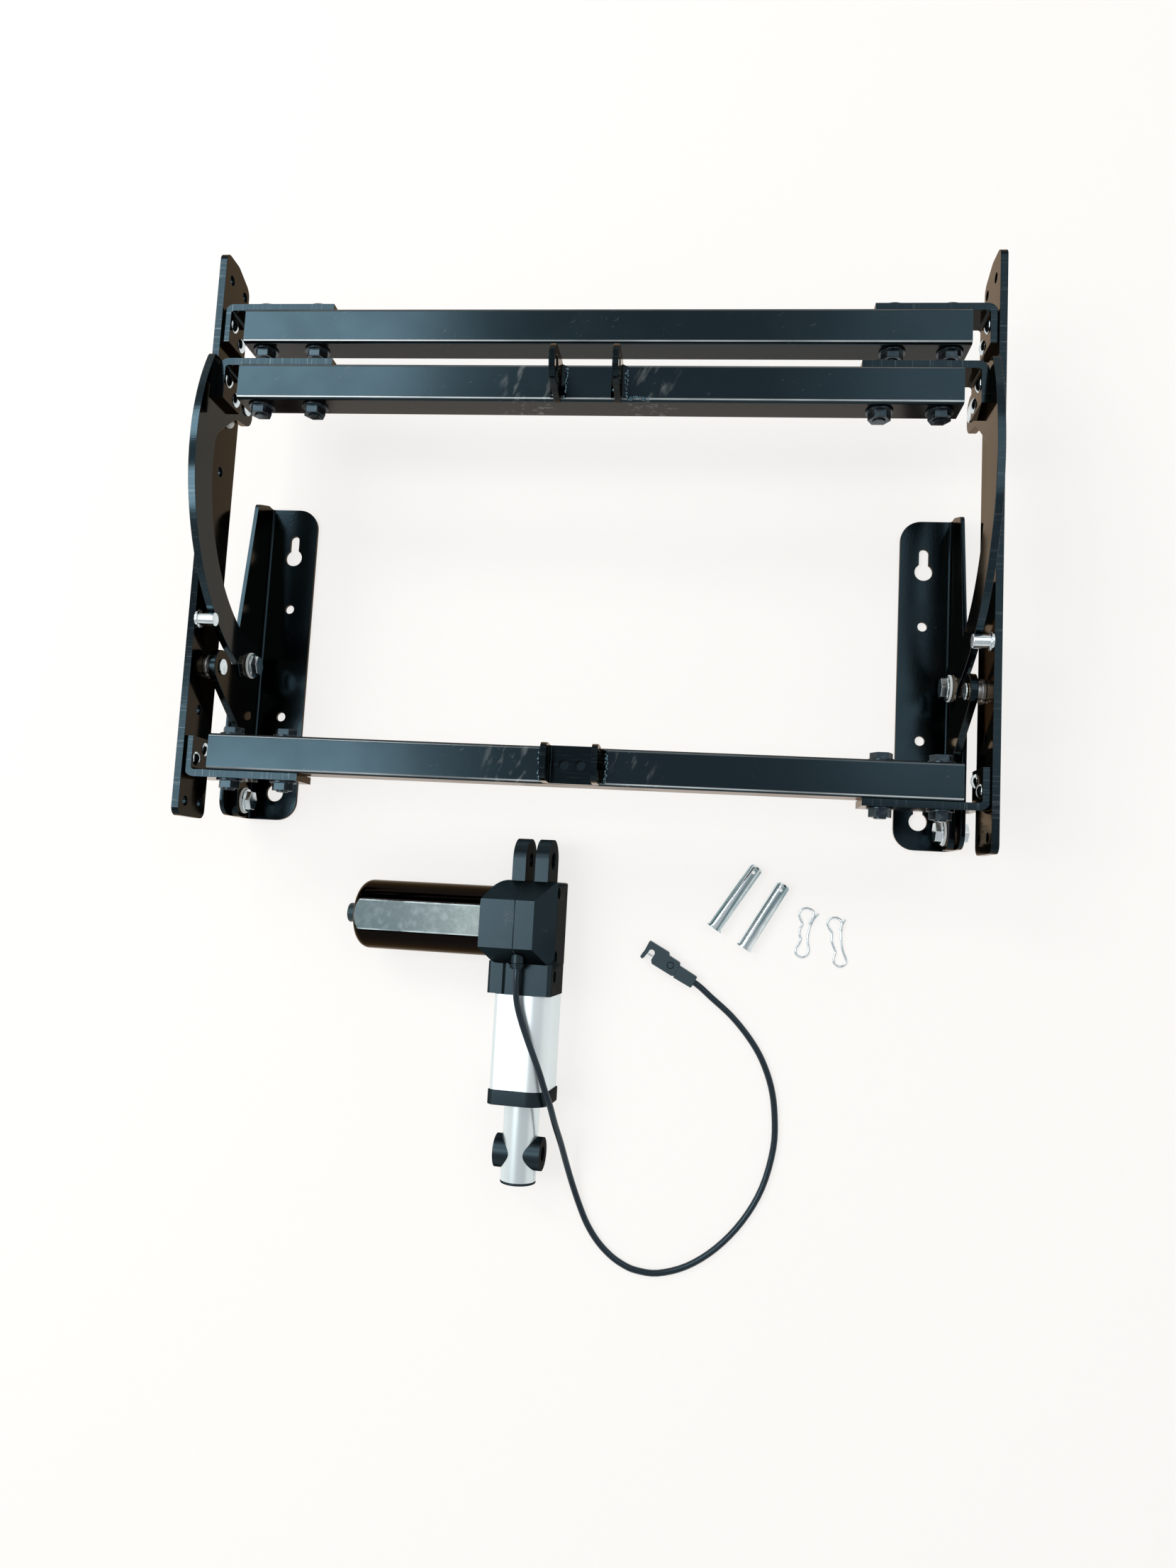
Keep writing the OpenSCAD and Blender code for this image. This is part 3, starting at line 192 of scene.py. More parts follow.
# Gloss black paint on steel: a faint dark mirror, blue seen straight on and warm at a shallow angle.
# In every finish a plain word such as peel or grain is the pattern's scale, a range is where it fades in,
# a length is how many times longer it is one way, and a depth is in metres.
paint = {
    "sheen": (0.047, 0.079, 0.099), "shine": 0.45, "shallow": (0.72, 0.60, 0.50, 1), "roughness": 0.07,
    "tubeShallow": (0.88, 0.75, 0.66, 1), "dust": (0.10, 0.115, 0.12, 1), "dustRough": 0.2,
    "peel": 380, "peelDepth": 5e-6, "patch": 24, "patchRange": (0.45, 0.75), "patchRough": 0.07,
    "speck": 420, "speckSize": 0.045, "speckAmount": 0.7, "scratch": 900, "scratchLength": 25,
    "scratchTurn": (0.3, 0.2, 0.5), "scratchRange": (0.735, 0.76), "scratchAmount": 0.8}
rubbed = {"stroke": 230, "strokeLength": 3.5, "strokeTurn": -0.4, "strokeRange": (0.56, 0.72), "amount": 0.8,
          "nearFade": 0.006, "farFade": 0.012}
cutEdge = {"tick": 1150, "tickLength": 33.0, "tickDepth": 3e-5, "rough": 0.06, "faceOn": 0.9, "sideOn": 0.4,
           "force": 40, "forceRange": (0.35, 0.6), "leastForce": 0.15, "worn": (0.20, 0.25, 0.27, 1),
           "nickRange": (0.58, 0.72), "nickAmount": 0.22}
# Painted highlight along a tube's upper edges: a pale colour with gaps, weaker on the side that faces +y
paintedEdgeHighlight = {"colour": (0.62, 0.69, 0.71, 1), "fadeIn": (0.78, 0.88), "fadeOut": (0.96, 0.995), "gap": 30,
            "gapLength": 3, "gapRange": (0.35, 0.7), "least": 0.35, "farSide": 0.25}
blueTint = (0.5, 0.8, 1.0, 1)   # tint of the gloss on bolts, cord, connector and end boss


def rubbedMarks(finish, near, far):
    # pale rubbed paint between these distances from the middle, beside the welds
    side = abs(finish.part(0))
    patch = finish.ramp(side, near, near + rubbed["nearFade"])
    patch = patch * (1 - finish.ramp(side, far - rubbed["farFade"], far))
    turn = (0, 0, rubbed["strokeTurn"])
    strokes = finish.noise(rubbed["stroke"], (1, rubbed["strokeLength"], 1), 5.0, turn)
    return patch * finish.ramp(strokes, *rubbed["strokeRange"]) * rubbed["amount"]


def cutterTicks(finish, thickAxis, foldX):
    # the cut edges, and the cutter's ticks through the plate, whose short legs stand past foldX
    stretch = [1.0, 1.0, 1.0]
    stretch[thickAxis] = cutEdge["tickLength"]
    ticks = finish.noise(cutEdge["tick"], tuple(stretch), 3.0)
    if foldX is None:
        return abs(finish.normalPart(thickAxis)) < cutEdge["sideOn"], ticks
    shortLeg = abs(finish.part(0)) > foldX
    legTicks = finish.noise(cutEdge["tick"], (cutEdge["tickLength"], 1.0, 1.0), 3.0)
    return (abs(finish.normalPart(2)) > cutEdge["faceOn"],
            ticks * (1 - shortLeg) + legTicks * shortLeg)


def paintedCornerHighlight(finish):
    # painted highlight: a bright line along a tube's upper edges, stronger on the side that faces -y
    up = abs(finish.normalPart(2))
    corner = finish.ramp(up, *paintedEdgeHighlight["fadeIn"]) * (1 - finish.ramp(up, *paintedEdgeHighlight["fadeOut"]))
    gaps = finish.noise(paintedEdgeHighlight["gap"], (paintedEdgeHighlight["gapLength"], 1, 1), 4.0)
    gaps = finish.ramp(gaps, *paintedEdgeHighlight["gapRange"])
    corner = corner * (gaps * (1 - paintedEdgeHighlight["least"]) + paintedEdgeHighlight["least"])
    return corner * ((finish.normalPart(1) < 0) * (1 - paintedEdgeHighlight["farSide"]) + paintedEdgeHighlight["farSide"])


def paintFinish(name, thickAxis=None, foldX=None, peelScale=1.0, peelDepth=1.0, roughness=paint["roughness"],
                shine=paint["shine"], shallow=paint["shallow"], scuffed=None, paintedHighlightEdges=False):
    # thickAxis is the axis through the plate, scuffed the nearest and furthest place of rubbed paint, and the
    # last switch adds a painted highlight along a tube's upper edges
    finish = Finish(name)
    bumps = finish.bump(finish.noise(paint["peel"] * peelScale, detail=3.0), paint["peelDepth"] * peelDepth)
    patches = finish.ramp(finish.noise(paint["patch"], detail=6.0), *paint["patchRange"])
    scratches = finish.noise(paint["scratch"], (paint["scratchLength"], 1, 1), 1.0, paint["scratchTurn"])
    marks = finish.specks(paint["speck"], paint["speckSize"]) * paint["speckAmount"]
    marks = marks + finish.ramp(scratches, *paint["scratchRange"]) * patches * paint["scratchAmount"]
    if scuffed:
        marks = marks + rubbedMarks(finish, *scuffed)
    colour = finish.mix(marks, (*[part * shine for part in paint["sheen"]], 1), paint["dust"])
    rough = roughness + patches * paint["patchRough"] + marks * paint["dustRough"]
    matte = marks
    if thickAxis is not None:
        edge, ticks = cutterTicks(finish, thickAxis, foldX)
        force = finish.ramp(finish.noise(cutEdge["force"], detail=2.0), *cutEdge["forceRange"])
        strong = edge * (force * (1 - cutEdge["leastForce"]) + cutEdge["leastForce"])
        bumps = finish.bump(ticks * strong, cutEdge["tickDepth"], bumps)
        rough = rough + edge * cutEdge["rough"]
        nicks = finish.ramp(ticks, *cutEdge["nickRange"]) * strong * cutEdge["nickAmount"]
        colour = finish.mix(nicks, colour, cutEdge["worn"])
        matte = matte + nicks
    # a painted highlight along a tube's upper edges, pale and matte
    if paintedHighlightEdges:
        corner = paintedCornerHighlight(finish)
        colour = finish.mix(corner, colour, paintedEdgeHighlight["colour"])
        matte = matte + corner
    return finish.close({"Base Color": colour, "Metallic": 1 - matte, "Roughness": rough,
                         "Specular Tint": shallow, "Normal": bumps})


# the tubes carry a painted highlight along their upper edges
tubePaint = {"peelScale": 0.35, "peelDepth": 2.0, "roughness": 0.2, "paintedHighlightEdges": True,
             "shallow": paint["tubeShallow"]}
plateFinish = paintFinish("plateBlack", thickAxis=0, shine=0.25)
armFinish = paintFinish("armBlack", thickAxis=0, shine=0.5)
railBracketFinish = paintFinish("railBracketBlack", thickAxis=1, foldX=0.262, shine=0.3)
armBracketFinish = paintFinish("armBracketBlack", thickAxis=1, foldX=0.251, shine=0.3)
tubeFinish = paintFinish("tubeBlack", scuffed=(0.022, 0.062), **tubePaint)
frontTubeFinish = paintFinish("frontTubeBlack", **tubePaint)
footFinish = paintFinish("footBlack", peelScale=2.2, peelDepth=6.0, roughness=0.14, shine=0.35)
weldFinish = paintFinish("weldBlack", peelScale=3.0, peelDepth=2.0, roughness=0.06, shine=2.0)

# Satin black bolts and nuts
boltBlack = {"colour": (0.007, 0.008, 0.009, 1), "worn": (0.05, 0.058, 0.062, 1), "wear": 260,
             "wearRange": (0.5, 0.8), "roughness": 0.17, "wearRough": 0.12, "grain": 2600, "grainDepth": 6e-6}


def boltFinish():
    finish = Finish("boltBlack")
    wear = finish.ramp(finish.noise(boltBlack["wear"], detail=5.0), *boltBlack["wearRange"])
    grain = finish.noise(boltBlack["grain"], detail=2.0)
    return finish.close({"Base Color": finish.mix(wear, boltBlack["colour"], boltBlack["worn"]),
                         "Roughness": boltBlack["roughness"] + wear * boltBlack["wearRough"],
                         "Specular Tint": blueTint, "Normal": finish.bump(grain, boltBlack["grainDepth"])})


# Bright zinc plate on bolts, pins, rivets and clips
zinc = {"colour": (0.74, 0.81, 0.84, 1), "hazeColour": (0.46, 0.55, 0.58, 1), "haze": 180,
        "hazeRange": (0.35, 0.75), "hazeAmount": 0.6, "roughness": 0.13, "hazeRough": 0.1,
        "grain": 1700, "grainDepth": 1.5e-6}
# Dark teal streaks along the pins, a painted reflection of dark surroundings, and the real drawn grain as
# bumps
reflectionStreaksAndGrain = {"colour": (0.10, 0.22, 0.24, 1), "streak": 300, "length": 60, "range": (0.46, 0.6),
              "amount": 0.8, "grain": 1500, "grainDepth": 5e-7}


def zincFinish(name, streakTurn=None):
    # the last argument is the turn about the upright axis of the lines along a bar, in degrees: dark streaks
    # of painted reflection, and the drawn grain in the bumps
    finish = Finish(name)
    haze = finish.ramp(finish.noise(zinc["haze"], detail=4.0), *zinc["hazeRange"])
    colour = finish.mix(haze * zinc["hazeAmount"], zinc["colour"], zinc["hazeColour"])
    if streakTurn is None:
        bumps = finish.bump(finish.noise(zinc["grain"], detail=2.0), zinc["grainDepth"])
    else:
        along = (reflectionStreaksAndGrain["length"], 1, 1)
        turn = (0, 0, radians(streakTurn))
        # painted reflection: dark teal streaks along the bar
        darkReflectionStreaks = finish.ramp(finish.noise(reflectionStreaksAndGrain["streak"], along, 2.0, turn), *reflectionStreaksAndGrain["range"])
        colour = finish.mix(darkReflectionStreaks * reflectionStreaksAndGrain["amount"], colour, reflectionStreaksAndGrain["colour"])
        bumps = finish.bump(finish.noise(reflectionStreaksAndGrain["grain"], along, 2.0, turn), reflectionStreaksAndGrain["grainDepth"])
    return finish.close({"Base Color": colour, "Metallic": 1.0,
                         "Roughness": zinc["roughness"] + haze * zinc["hazeRough"], "Normal": bumps})


# Turned steel bushings, with rings round the x axis
steel = {"colour": (0.50, 0.51, 0.52, 1), "ring": 2400, "ringLength": 20, "ringDepth": 8e-6,
         "roughness": 0.16, "ringRough": 0.2}


def steelFinish():
    finish = Finish("turnedSteel")
    rings = finish.noise(steel["ring"], (1, steel["ringLength"], steel["ringLength"]), 2.0)
    return finish.close({"Base Color": steel["colour"], "Metallic": 1.0,
                         "Roughness": steel["roughness"] + rings * steel["ringRough"],
                         "Normal": finish.bump(rings, steel["ringDepth"])})


# White nylon washers and buttons
nylon = {"dull": (0.70, 0.74, 0.73, 1), "bright": (0.82, 0.85, 0.84, 1), "cloud": 240, "cloudDepth": 1e-5,
         "roughness": 0.38, "cloudRough": 0.12}


def nylonFinish():
    finish = Finish("whiteNylon")
    cloud = finish.noise(nylon["cloud"], detail=3.0)
    return finish.close({"Base Color": finish.mix(cloud, nylon["dull"], nylon["bright"]),
                         "Roughness": nylon["roughness"] + cloud * nylon["cloudRough"],
                         "Normal": finish.bump(cloud, nylon["cloudDepth"])})


# Satin blue-black moulded plastic of the gearbox, caps and bushes
plastic = {"colour": (0.026, 0.039, 0.047, 1), "shallow": (0.36, 0.34, 0.32, 1), "roughness": 0.36,
           "grain": 2300, "grainDepth": 1.1e-5, "chalk": (0.16, 0.18, 0.19, 1), "chalkRough": 0.3,
           "smear": 70, "smearRange": (0.62, 0.8), "crumb": 900, "crumbRange": (0.5, 0.7),
           "speck": 600, "speckSize": 0.03}


def plasticFinish(name, chalkAmount=0.5, rougher=0.0, colour=plastic["colour"], mirror=True):
    finish = Finish(name)
    grain = finish.noise(plastic["grain"], detail=2.0)
    smears = finish.ramp(finish.noise(plastic["smear"], detail=7.0), *plastic["smearRange"])
    crumbs = finish.ramp(finish.noise(plastic["crumb"], detail=3.0), *plastic["crumbRange"])
    chalk = (smears * crumbs + finish.specks(plastic["speck"], plastic["speckSize"])) * chalkAmount
    return finish.close({"Base Color": finish.mix(chalk, colour, plastic["chalk"]),
                         "Roughness": plastic["roughness"] + rougher + chalk * plastic["chalkRough"],
                         "Metallic": 1 - chalk if mirror else 0.0,
                         "Specular Tint": plastic["shallow"] if mirror else blueTint,
                         "Normal": finish.bump(grain, plastic["grainDepth"])})


# Anodised tube and rod of the actuator, with lines along their length
anodised = {"metallic": 0.9, "line": 1500, "lineLength": 50, "lineRough": 0.08,
            "cloud": 35, "cloudLength": 2.5, "cloudRough": 0.12}


def aluminiumFinish(name, colour, roughness, lineDepth):
    finish = Finish(name)
    lines = finish.noise(anodised["line"], (1, anodised["lineLength"], 1), 3.0)
    cloud = finish.noise(anodised["cloud"], (1, anodised["cloudLength"], 1), 4.0)
    rough = roughness + cloud * anodised["cloudRough"] + lines * anodised["lineRough"]
    return finish.close({"Base Color": colour, "Metallic": anodised["metallic"], "Roughness": rough,
                         "Normal": finish.bump(lines, lineDepth)})


# Gloss black motor can with a satin grey band on its flat, which brightens from leftX to rightX
lean = radians(6)        # the actuator leans on its motor, turned about the y axis
canPaint = {
    "gloss": (0.007, 0.0055, 0.005, 1), "shallow": (0.64, 0.58, 0.52, 1), "glossRough": 0.09,
    "bandLeft": (0.085, 0.145, 0.17, 1), "bandRight": (0.34, 0.42, 0.42, 1), "bandRough": 0.3,
    "blotchRough": 0.1, "leftX": -157, "rightX": -61, "axisY": -78.8, "bandHalf": 10.3, "flatUp": 0.997,
    "upper": 0.9, "rim": (0.48, 0.58, 0.60, 1), "rimIn": 0.5, "rimOut": 0.4, "rimGap": 60,
    "rimRange": (0.35, 0.6),
    "blotchColour": (0.07, 0.11, 0.12, 1), "blotch": 800, "blotchRange": (0.5, 0.72), "blotchAmount": 0.35,
    "pale": 150, "paleRange": (0.48, 0.8), "paleLeft": 0.15, "paleGain": 0.6, "grain": 1400,
    "grainDepth": 1.2e-5, "glossGrain": 0.1}


def bandColour(finish, blotch):
    # satin grey, pale in spots and darker in fine blotches
    fade = finish.ramp(finish.part(0), canPaint["leftX"] * mm, canPaint["rightX"] * mm)
    satin = finish.mix(fade * fade, canPaint["bandLeft"], canPaint["bandRight"])
    satin = finish.mix(blotch * canPaint["blotchAmount"], satin, canPaint["blotchColour"])
    pale = finish.ramp(finish.noise(canPaint["pale"], detail=5.0), *canPaint["paleRange"])
    return finish.mix(pale * (fade * canPaint["paleGain"] + canPaint["paleLeft"]), satin, canPaint["rim"])


def canFinish():
    finish = Finish("canBlack")
    up = finish.normalPart(2) * cos(lean) - finish.normalPart(0) * sin(lean)
    band = up > canPaint["flatUp"]
    blotch = finish.ramp(finish.noise(canPaint["blotch"], detail=5.0), *canPaint["blotchRange"])
    fromAxis = abs(finish.part(1) - (canPaint["axisY"] * mm + shiftY))
    rim = (fromAxis > (canPaint["bandHalf"] - canPaint["rimIn"]) * mm) * (up > canPaint["upper"])
    rim = rim * (fromAxis < (canPaint["bandHalf"] + canPaint["rimOut"]) * mm)
    rim = rim * finish.ramp(finish.noise(canPaint["rimGap"], (1, 10, 10), 3.0), *canPaint["rimRange"])
    colour = finish.mix(band, canPaint["gloss"], bandColour(finish, blotch))
    grain = finish.noise(canPaint["grain"], detail=3.0) * (canPaint["glossGrain"] + band)
    rough = canPaint["glossRough"] + band * canPaint["bandRough"] + blotch * band * canPaint["blotchRough"]
    return finish.close({"Base Color": finish.mix(rim, colour, canPaint["rim"]), "Metallic": 1 - band,
                         "Roughness": rough, "Specular Tint": canPaint["shallow"],
                         "Normal": finish.bump(grain, canPaint["grainDepth"])})


# Smooth sheath of the cord
sheath = {"colour": (0.010, 0.012, 0.015, 1), "roughness": 0.17, "cloud": 300, "cloudRough": 0.12,
          "cloudDepth": 1.5e-5}


def cordFinish():
    finish = Finish("cordSheath")
    cloud = finish.noise(sheath["cloud"], detail=3.0)
    return finish.close({"Base Color": sheath["colour"],
                         "Roughness": sheath["roughness"] + cloud * sheath["cloudRough"],
                         "Specular Tint": blueTint, "Normal": finish.bump(cloud, sheath["cloudDepth"])})


# Copper of the armature, with its turns
copper = {"shade": (0.42, 0.17, 0.07, 1), "bright": (0.75, 0.36, 0.19, 1), "turn": 1800, "turnLength": 20,
          "turnDepth": 3e-5, "roughness": 0.3}


def copperFinish():
    finish = Finish("copperWinding")
    turns = finish.noise(copper["turn"], (copper["turnLength"], 1, 1), 2.0)
    return finish.close({"Base Color": finish.mix(turns, copper["shade"], copper["bright"]), "Metallic": 1.0,
                         "Roughness": copper["roughness"], "Normal": finish.bump(turns, copper["turnDepth"])})


# The finish of each material slot, and the nodes that have one of their own
finishes = {
    "black_oxide_steel": boltFinish(),
    "zinc_plated_steel": zincFinish("zincPlate"),
    "bushing_steel": steelFinish(),
    "white_nylon": nylonFinish(),
    "black_washer_plastic": plasticFinish("washerBlack", chalkAmount=0.1, rougher=-0.1),
    "black_plastic": plasticFinish("casingBlack"),
    "motor_black_paint": canFinish(),
    "anodised_aluminium": aluminiumFinish("anodisedTube", (0.78, 0.86, 0.88, 1), 0.28, 7e-6),
    "copper_winding": copperFinish(),
    "black_cord": cordFinish(),
    "gloss_black_paint": plateFinish}
connectorFinish = plasticFinish("connectorGrey", 0.3, 0.04, (0.034, 0.048, 0.052, 1), mirror=False)
endBossFinish = plasticFinish("endBossGrey", 1.0, 0.1, (0.018, 0.028, 0.025, 1), mirror=False)
nodeFinishes = {
    "front_cross_tube": frontTubeFinish, "rear_cross_tube": tubeFinish, "arm_cross_tube": tubeFinish,
    "rail_corner_brackets": railBracketFinish, "arm_corner_brackets": armBracketFinish,
    "left_base_bracket": footFinish, "right_base_bracket": footFinish,
    "left_arm": armFinish, "right_arm": armFinish,
    "actuator_rod": aluminiumFinish("brushedRod", (0.74, 0.83, 0.85, 1), 0.2, 1.2e-5),
    "clevis_pins": zincFinish("zincPins", streakTurn=58.6),
    "connector_tail": connectorFinish, "connector_hook": connectorFinish, "motor_end_bearing": endBossFinish}
print("stage: finishes made")


def finishOf(node):
    return nodeFinishes.get(node, finishes[slotOf[node]])


def addObject(name, mesh, finish, body):
    made = bpy.data.objects.new(name, mesh)
    bpy.context.scene.collection.objects.link(made)
    mesh.materials.clear()
    mesh.materials.append(finish)
    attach(made, body)
    return made


def scratchObject(name, data):
    made = bpy.data.objects.new(name, data)
    bpy.context.scene.collection.objects.link(made)
    return made


def settled(source):
    # the evaluated shape of an object, as a plain mesh of its own
    bpy.context.view_layer.update()
    mesh = bpy.data.meshes.new_from_object(source.evaluated_get(bpy.context.evaluated_depsgraph_get()))
    bpy.data.objects.remove(source)
    return mesh


# Pieces with softened edges: width of the rounding in millimetres, for each node
softened = {
    "left_base_bracket": 0.4, "right_base_bracket": 0.4, "left_rail": 0.5, "right_rail": 0.5,
    "left_arm": 0.5, "right_arm": 0.5, "left_link": 0.5, "right_link": 0.5,
    "arm_corner_brackets": 0.7, "rail_corner_brackets": 0.7, "front_cross_tube": 1.5,
    "rear_cross_tube": 1.5, "arm_cross_tube": 1.5, "rod_bracket": 0.5, "actuator_ears": 0.5,
    "base_pivot_bolts": 0.35, "base_pivot_nuts": 0.3, "arm_tube_bolts": 0.35, "arm_tube_nuts": 0.35,
    "front_tube_bolts": 0.35, "rear_tube_bolts": 0.4, "rail_tube_nuts": 0.35, "nylon_washers": 0.3,
    "stop_pins": 0.5, "arm_pivot_pins": 0.4, "left_link_pin": 0.4, "right_link_pin": 0.4,
    "arm_bracket_rivets": 0.2, "rail_bracket_rivets": 0.2, "gearbox_motor_half": 1.2,
    "gearbox_cover_half": 1.2, "tube_end_cap": 0.7, "rod_bushes": 0.5, "rod_end_plug": 0.8,
    "motor_can": 0.3, "actuator_tube": 0.3, "actuator_rod": 0.4, "clevis_pins": 0.25,
    "connector_tail": 0.7, "connector_hook": 0.4, "motor_end_bearing": 0.6}
edges = {"flatBelow": 0.6, "roundAbove": 38, "steps": 2, "mergeWithin": 2e-6}   # degrees, and metres


def soften(node, width):
    mesh = frame["nodes"][node].data.copy()
    shape = bmesh.new()
    shape.from_mesh(mesh)
    bmesh.ops.remove_doubles(shape, verts=shape.verts, dist=edges["mergeWithin"])
    bmesh.ops.dissolve_limit(shape, angle_limit=radians(edges["flatBelow"]), verts=shape.verts,
                             edges=shape.edges)
    shape.to_mesh(mesh)
    shape.free()
    source = scratchObject(node + "Source", mesh)
    for polygon in mesh.polygons:
        polygon.use_smooth = True
    rounding = source.modifiers.new("rounding", "BEVEL")
    rounding.width = width * mm
    rounding.segments = edges["steps"]
    rounding.limit_method = "ANGLE"
    rounding.angle_limit = radians(edges["roundAbove"])
    rounding.miter_outer = "MITER_ARC"
    flats = source.modifiers.new("flats", "WEIGHTED_NORMAL")
    flats.keep_sharp = True
    made = addObject(node + "Dressed", settled(source), finishOf(node), bodyOf[node])
    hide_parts(node)


for node, width in softened.items():
    soften(node, width)
for node, solid in frame["nodes"].items():
    solid.data.materials.clear()
    solid.data.materials.append(finishOf(node))
print("stage: edges softened")


# The cord, along the route of the drawing
cord = {"diameter": 4.6 * mm, "steps": 4, "roundness": 5, "exit": (-38, -111, 50.5), "route": [
    (-38, -118, 50.5), (-37.8, -127, 49.8), (-36.6, -136, 48.6), (-33.2, -147, 47.8), (-28.6, -158.4, 47.6),
    (-23.4, -170, 47.8), (-18.2, -182, 47.8), (-14.4, -193, 46.2), (-10.6, -203.5, 43), (-7.4, -218, 33.5),
    (-3.9, -232.6, 22.5), (0, -249, 13), (4.4, -264.4, 6.5), (10, -279.5, 3.4), (16.2, -292.6, 2.6),
    (24.3, -304, 2.5), (33.7, -312.8, 2.5), (43, -318.5, 2.5), (53, -321.9, 2.5), (68.7, -322.6, 2.5),
    (89.1, -316, 2.5), (109.1, -302.1, 2.5), (126.9, -282.1, 2.5), (140, -258.1, 2.5), (147, -230, 2.5),
    (147.1, -206.8, 2.5), (143.9, -187.1, 2.5), (136.7, -168.6, 2.5), (127, -153.6, 2.7),
    (113.7, -138.8, 3.2), (99, -126.6, 4.2), (90.5, -119.5, 4.5), (85.63, -116.13, 4.5)]}

cordPath = smoothPath([place(*point) for point in [cord["exit"]] + cord["route"]], cord["steps"])
cordCurve = bpy.data.curves.new("powerCord", "CURVE")
cordCurve.dimensions = "3D"
cordCurve.bevel_depth = cord["diameter"] / 2
cordCurve.bevel_resolution = cord["roundness"]
cordCurve.use_fill_caps = True
spline = cordCurve.splines.new("POLY")
spline.points.add(len(cordPath) - 1)
for point, spot in zip(spline.points, cordPath):
    point.co = (*spot, 1)
spline.use_smooth = True
cordPiece = addObject("powerCord", cordCurve, finishes["black_cord"], "base")
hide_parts("power_cord")
pathLength(cordPath)
print("stage: cord laid,", round(pathLength(cordPath), 3), "m")


# Geometry Nodes trees
class Shape(Tree):
    def __init__(self, name, sizes):
        group = bpy.data.node_groups.new(name, "GeometryNodeTree")
        super().__init__(group)
        group.interface.new_socket("Geometry", in_out="INPUT", socket_type="NodeSocketGeometry")
        self.keys = {}
        for label, value in sizes.items():
            socket = group.interface.new_socket(label, in_out="INPUT", socket_type="NodeSocketFloat")
            socket.default_value = value
            self.keys[label] = socket.identifier
        group.interface.new_socket("Geometry", in_out="OUTPUT", socket_type="NodeSocketGeometry")
        self.entry = group.nodes.new("NodeGroupInput")

    def given(self, label):
        return Link(self, self.entry.outputs[label])

    def close(self, geometry, finish):
        real = self.node("GeometryNodeRealizeInstances", {}, {0: geometry})
        smooth = self.node("GeometryNodeSetShadeSmooth", {}, {0: real})
        coated = self.node("GeometryNodeSetMaterial", {}, {0: smooth, "Material": finish})
        self.node("NodeGroupOutput", {}, {0: coated})

    # the tree's result on a base mesh or curve, as a plain mesh
    def grow(self, data, sizes=None):
        source = scratchObject("shapeSource", data)
        modifier = source.modifiers.new("shape", "NODES")
        modifier.node_group = self.tree
        for label, value in (sizes or {}).items():
            modifier[self.keys[label]] = value
        return settled(source)


def lineCurve(paths, closed=False):
    curve = bpy.data.curves.new("line", "CURVE")
    curve.dimensions = "3D"
    for path in paths:
        line = curve.splines.new("POLY")
        line.points.add(len(path) - 1)
        for point, spot in zip(line.points, path):
            point.co = (*spot, 1)
        line.use_cyclic_u = closed
    return curve


# The two spring clips: the first leg of each wire lies on the last one, then slopes to the floor
clips = {"wire": 1.8, "lift": 0.3, "slopeEnd": 6, "slopePoints": 4, "steps": 5, "routes": [
    [(166.9, -69.4), (169.6, -65), (170, -61), (168, -58.8), (164.7, -58.1), (161.4, -59.4), (159.8, -62.8),
     (161, -66.4), (162.4, -69.8), (161, -73.2), (160.5, -76.6), (161.5, -81), (160.2, -84.6), (158.2, -88.3),
     (158.9, -92), (163, -93.8), (166.6, -91.8), (167.5, -87.7), (166.6, -82), (166.7, -77.5), (168, -71.5),
     (170.6, -65.6), (173.8, -61.6)],
    [(189.4, -73.5), (190.3, -69), (189.8, -66), (187.8, -64.3), (185, -63.8), (181.8, -65.2), (180.3, -68.4),
     (181.8, -71.9), (183.8, -75), (183.8, -80.6), (185.2, -84.8), (186.7, -88.6), (185.7, -92.5),
     (186, -96.6), (190, -99), (194, -97), (194.4, -93.6), (191.9, -87.2), (190.6, -80), (190.4, -74),
     (191.3, -68.4), (192.9, -64.8)]]}

wireTree = Shape("wireAlongLine", {"Radius": clips["wire"] / 2 * mm})
ring = wireTree.node("GeometryNodeCurvePrimitiveCircle", {},
                     {"Resolution": 12, "Radius": wireTree.given("Radius")})
wire = wireTree.node("GeometryNodeCurveToMesh", {},
                     {"Curve": wireTree.given("Geometry"), "Profile Curve": ring, "Fill Caps": True})
wireTree.close(wire, finishes["zinc_plated_steel"])


def wireHeight(i):
    lifted = min(1, max(0, (clips["slopeEnd"] - i) / clips["slopePoints"]))
    return clips["wire"] / 2 + (clips["wire"] + clips["lift"]) * lifted


clipPaths = [smoothPath([place(x, y, wireHeight(i)) for i, (x, y) in enumerate(route)], clips["steps"])
             for route in clips["routes"]]
clipPiece = addObject("clipWires", wireTree.grow(lineCurve(clipPaths)), finishes["zinc_plated_steel"], "base")
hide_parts("r_clips")

# Weld beads: overlapping drops of mixed size along a seam
weld = {"jitterFrom": (-1, -1, -0.25), "jitterTo": (1, 1, 0.25), "smallest": 0.35, "largest": 1.0,
        "bead": {"Drop": 1.3 * mm, "Spread": 0.9 * mm, "Step": 0.6 * mm, "Seed": 3}}
weldTree = Shape("weldBead", weld["bead"])
seam = weldTree.node("GeometryNodeResampleCurve", {"mode": "LENGTH"},
                     {"Curve": weldTree.given("Geometry"), "Length": weldTree.given("Step")})
jitter = weldTree.node("FunctionNodeRandomValue", {"data_type": "FLOAT_VECTOR"},
                       {0: weld["jitterFrom"], 1: weld["jitterTo"], "Seed": weldTree.given("Seed")})
offset = weldTree.node("ShaderNodeVectorMath", {"operation": "SCALE"},
                       {0: jitter, "Scale": weldTree.given("Spread")})
spots = weldTree.node("GeometryNodeCurveToPoints", {"mode": "EVALUATED"}, {"Curve": seam})
moved = weldTree.node("GeometryNodeSetPosition", {}, {"Geometry": spots, "Offset": offset})
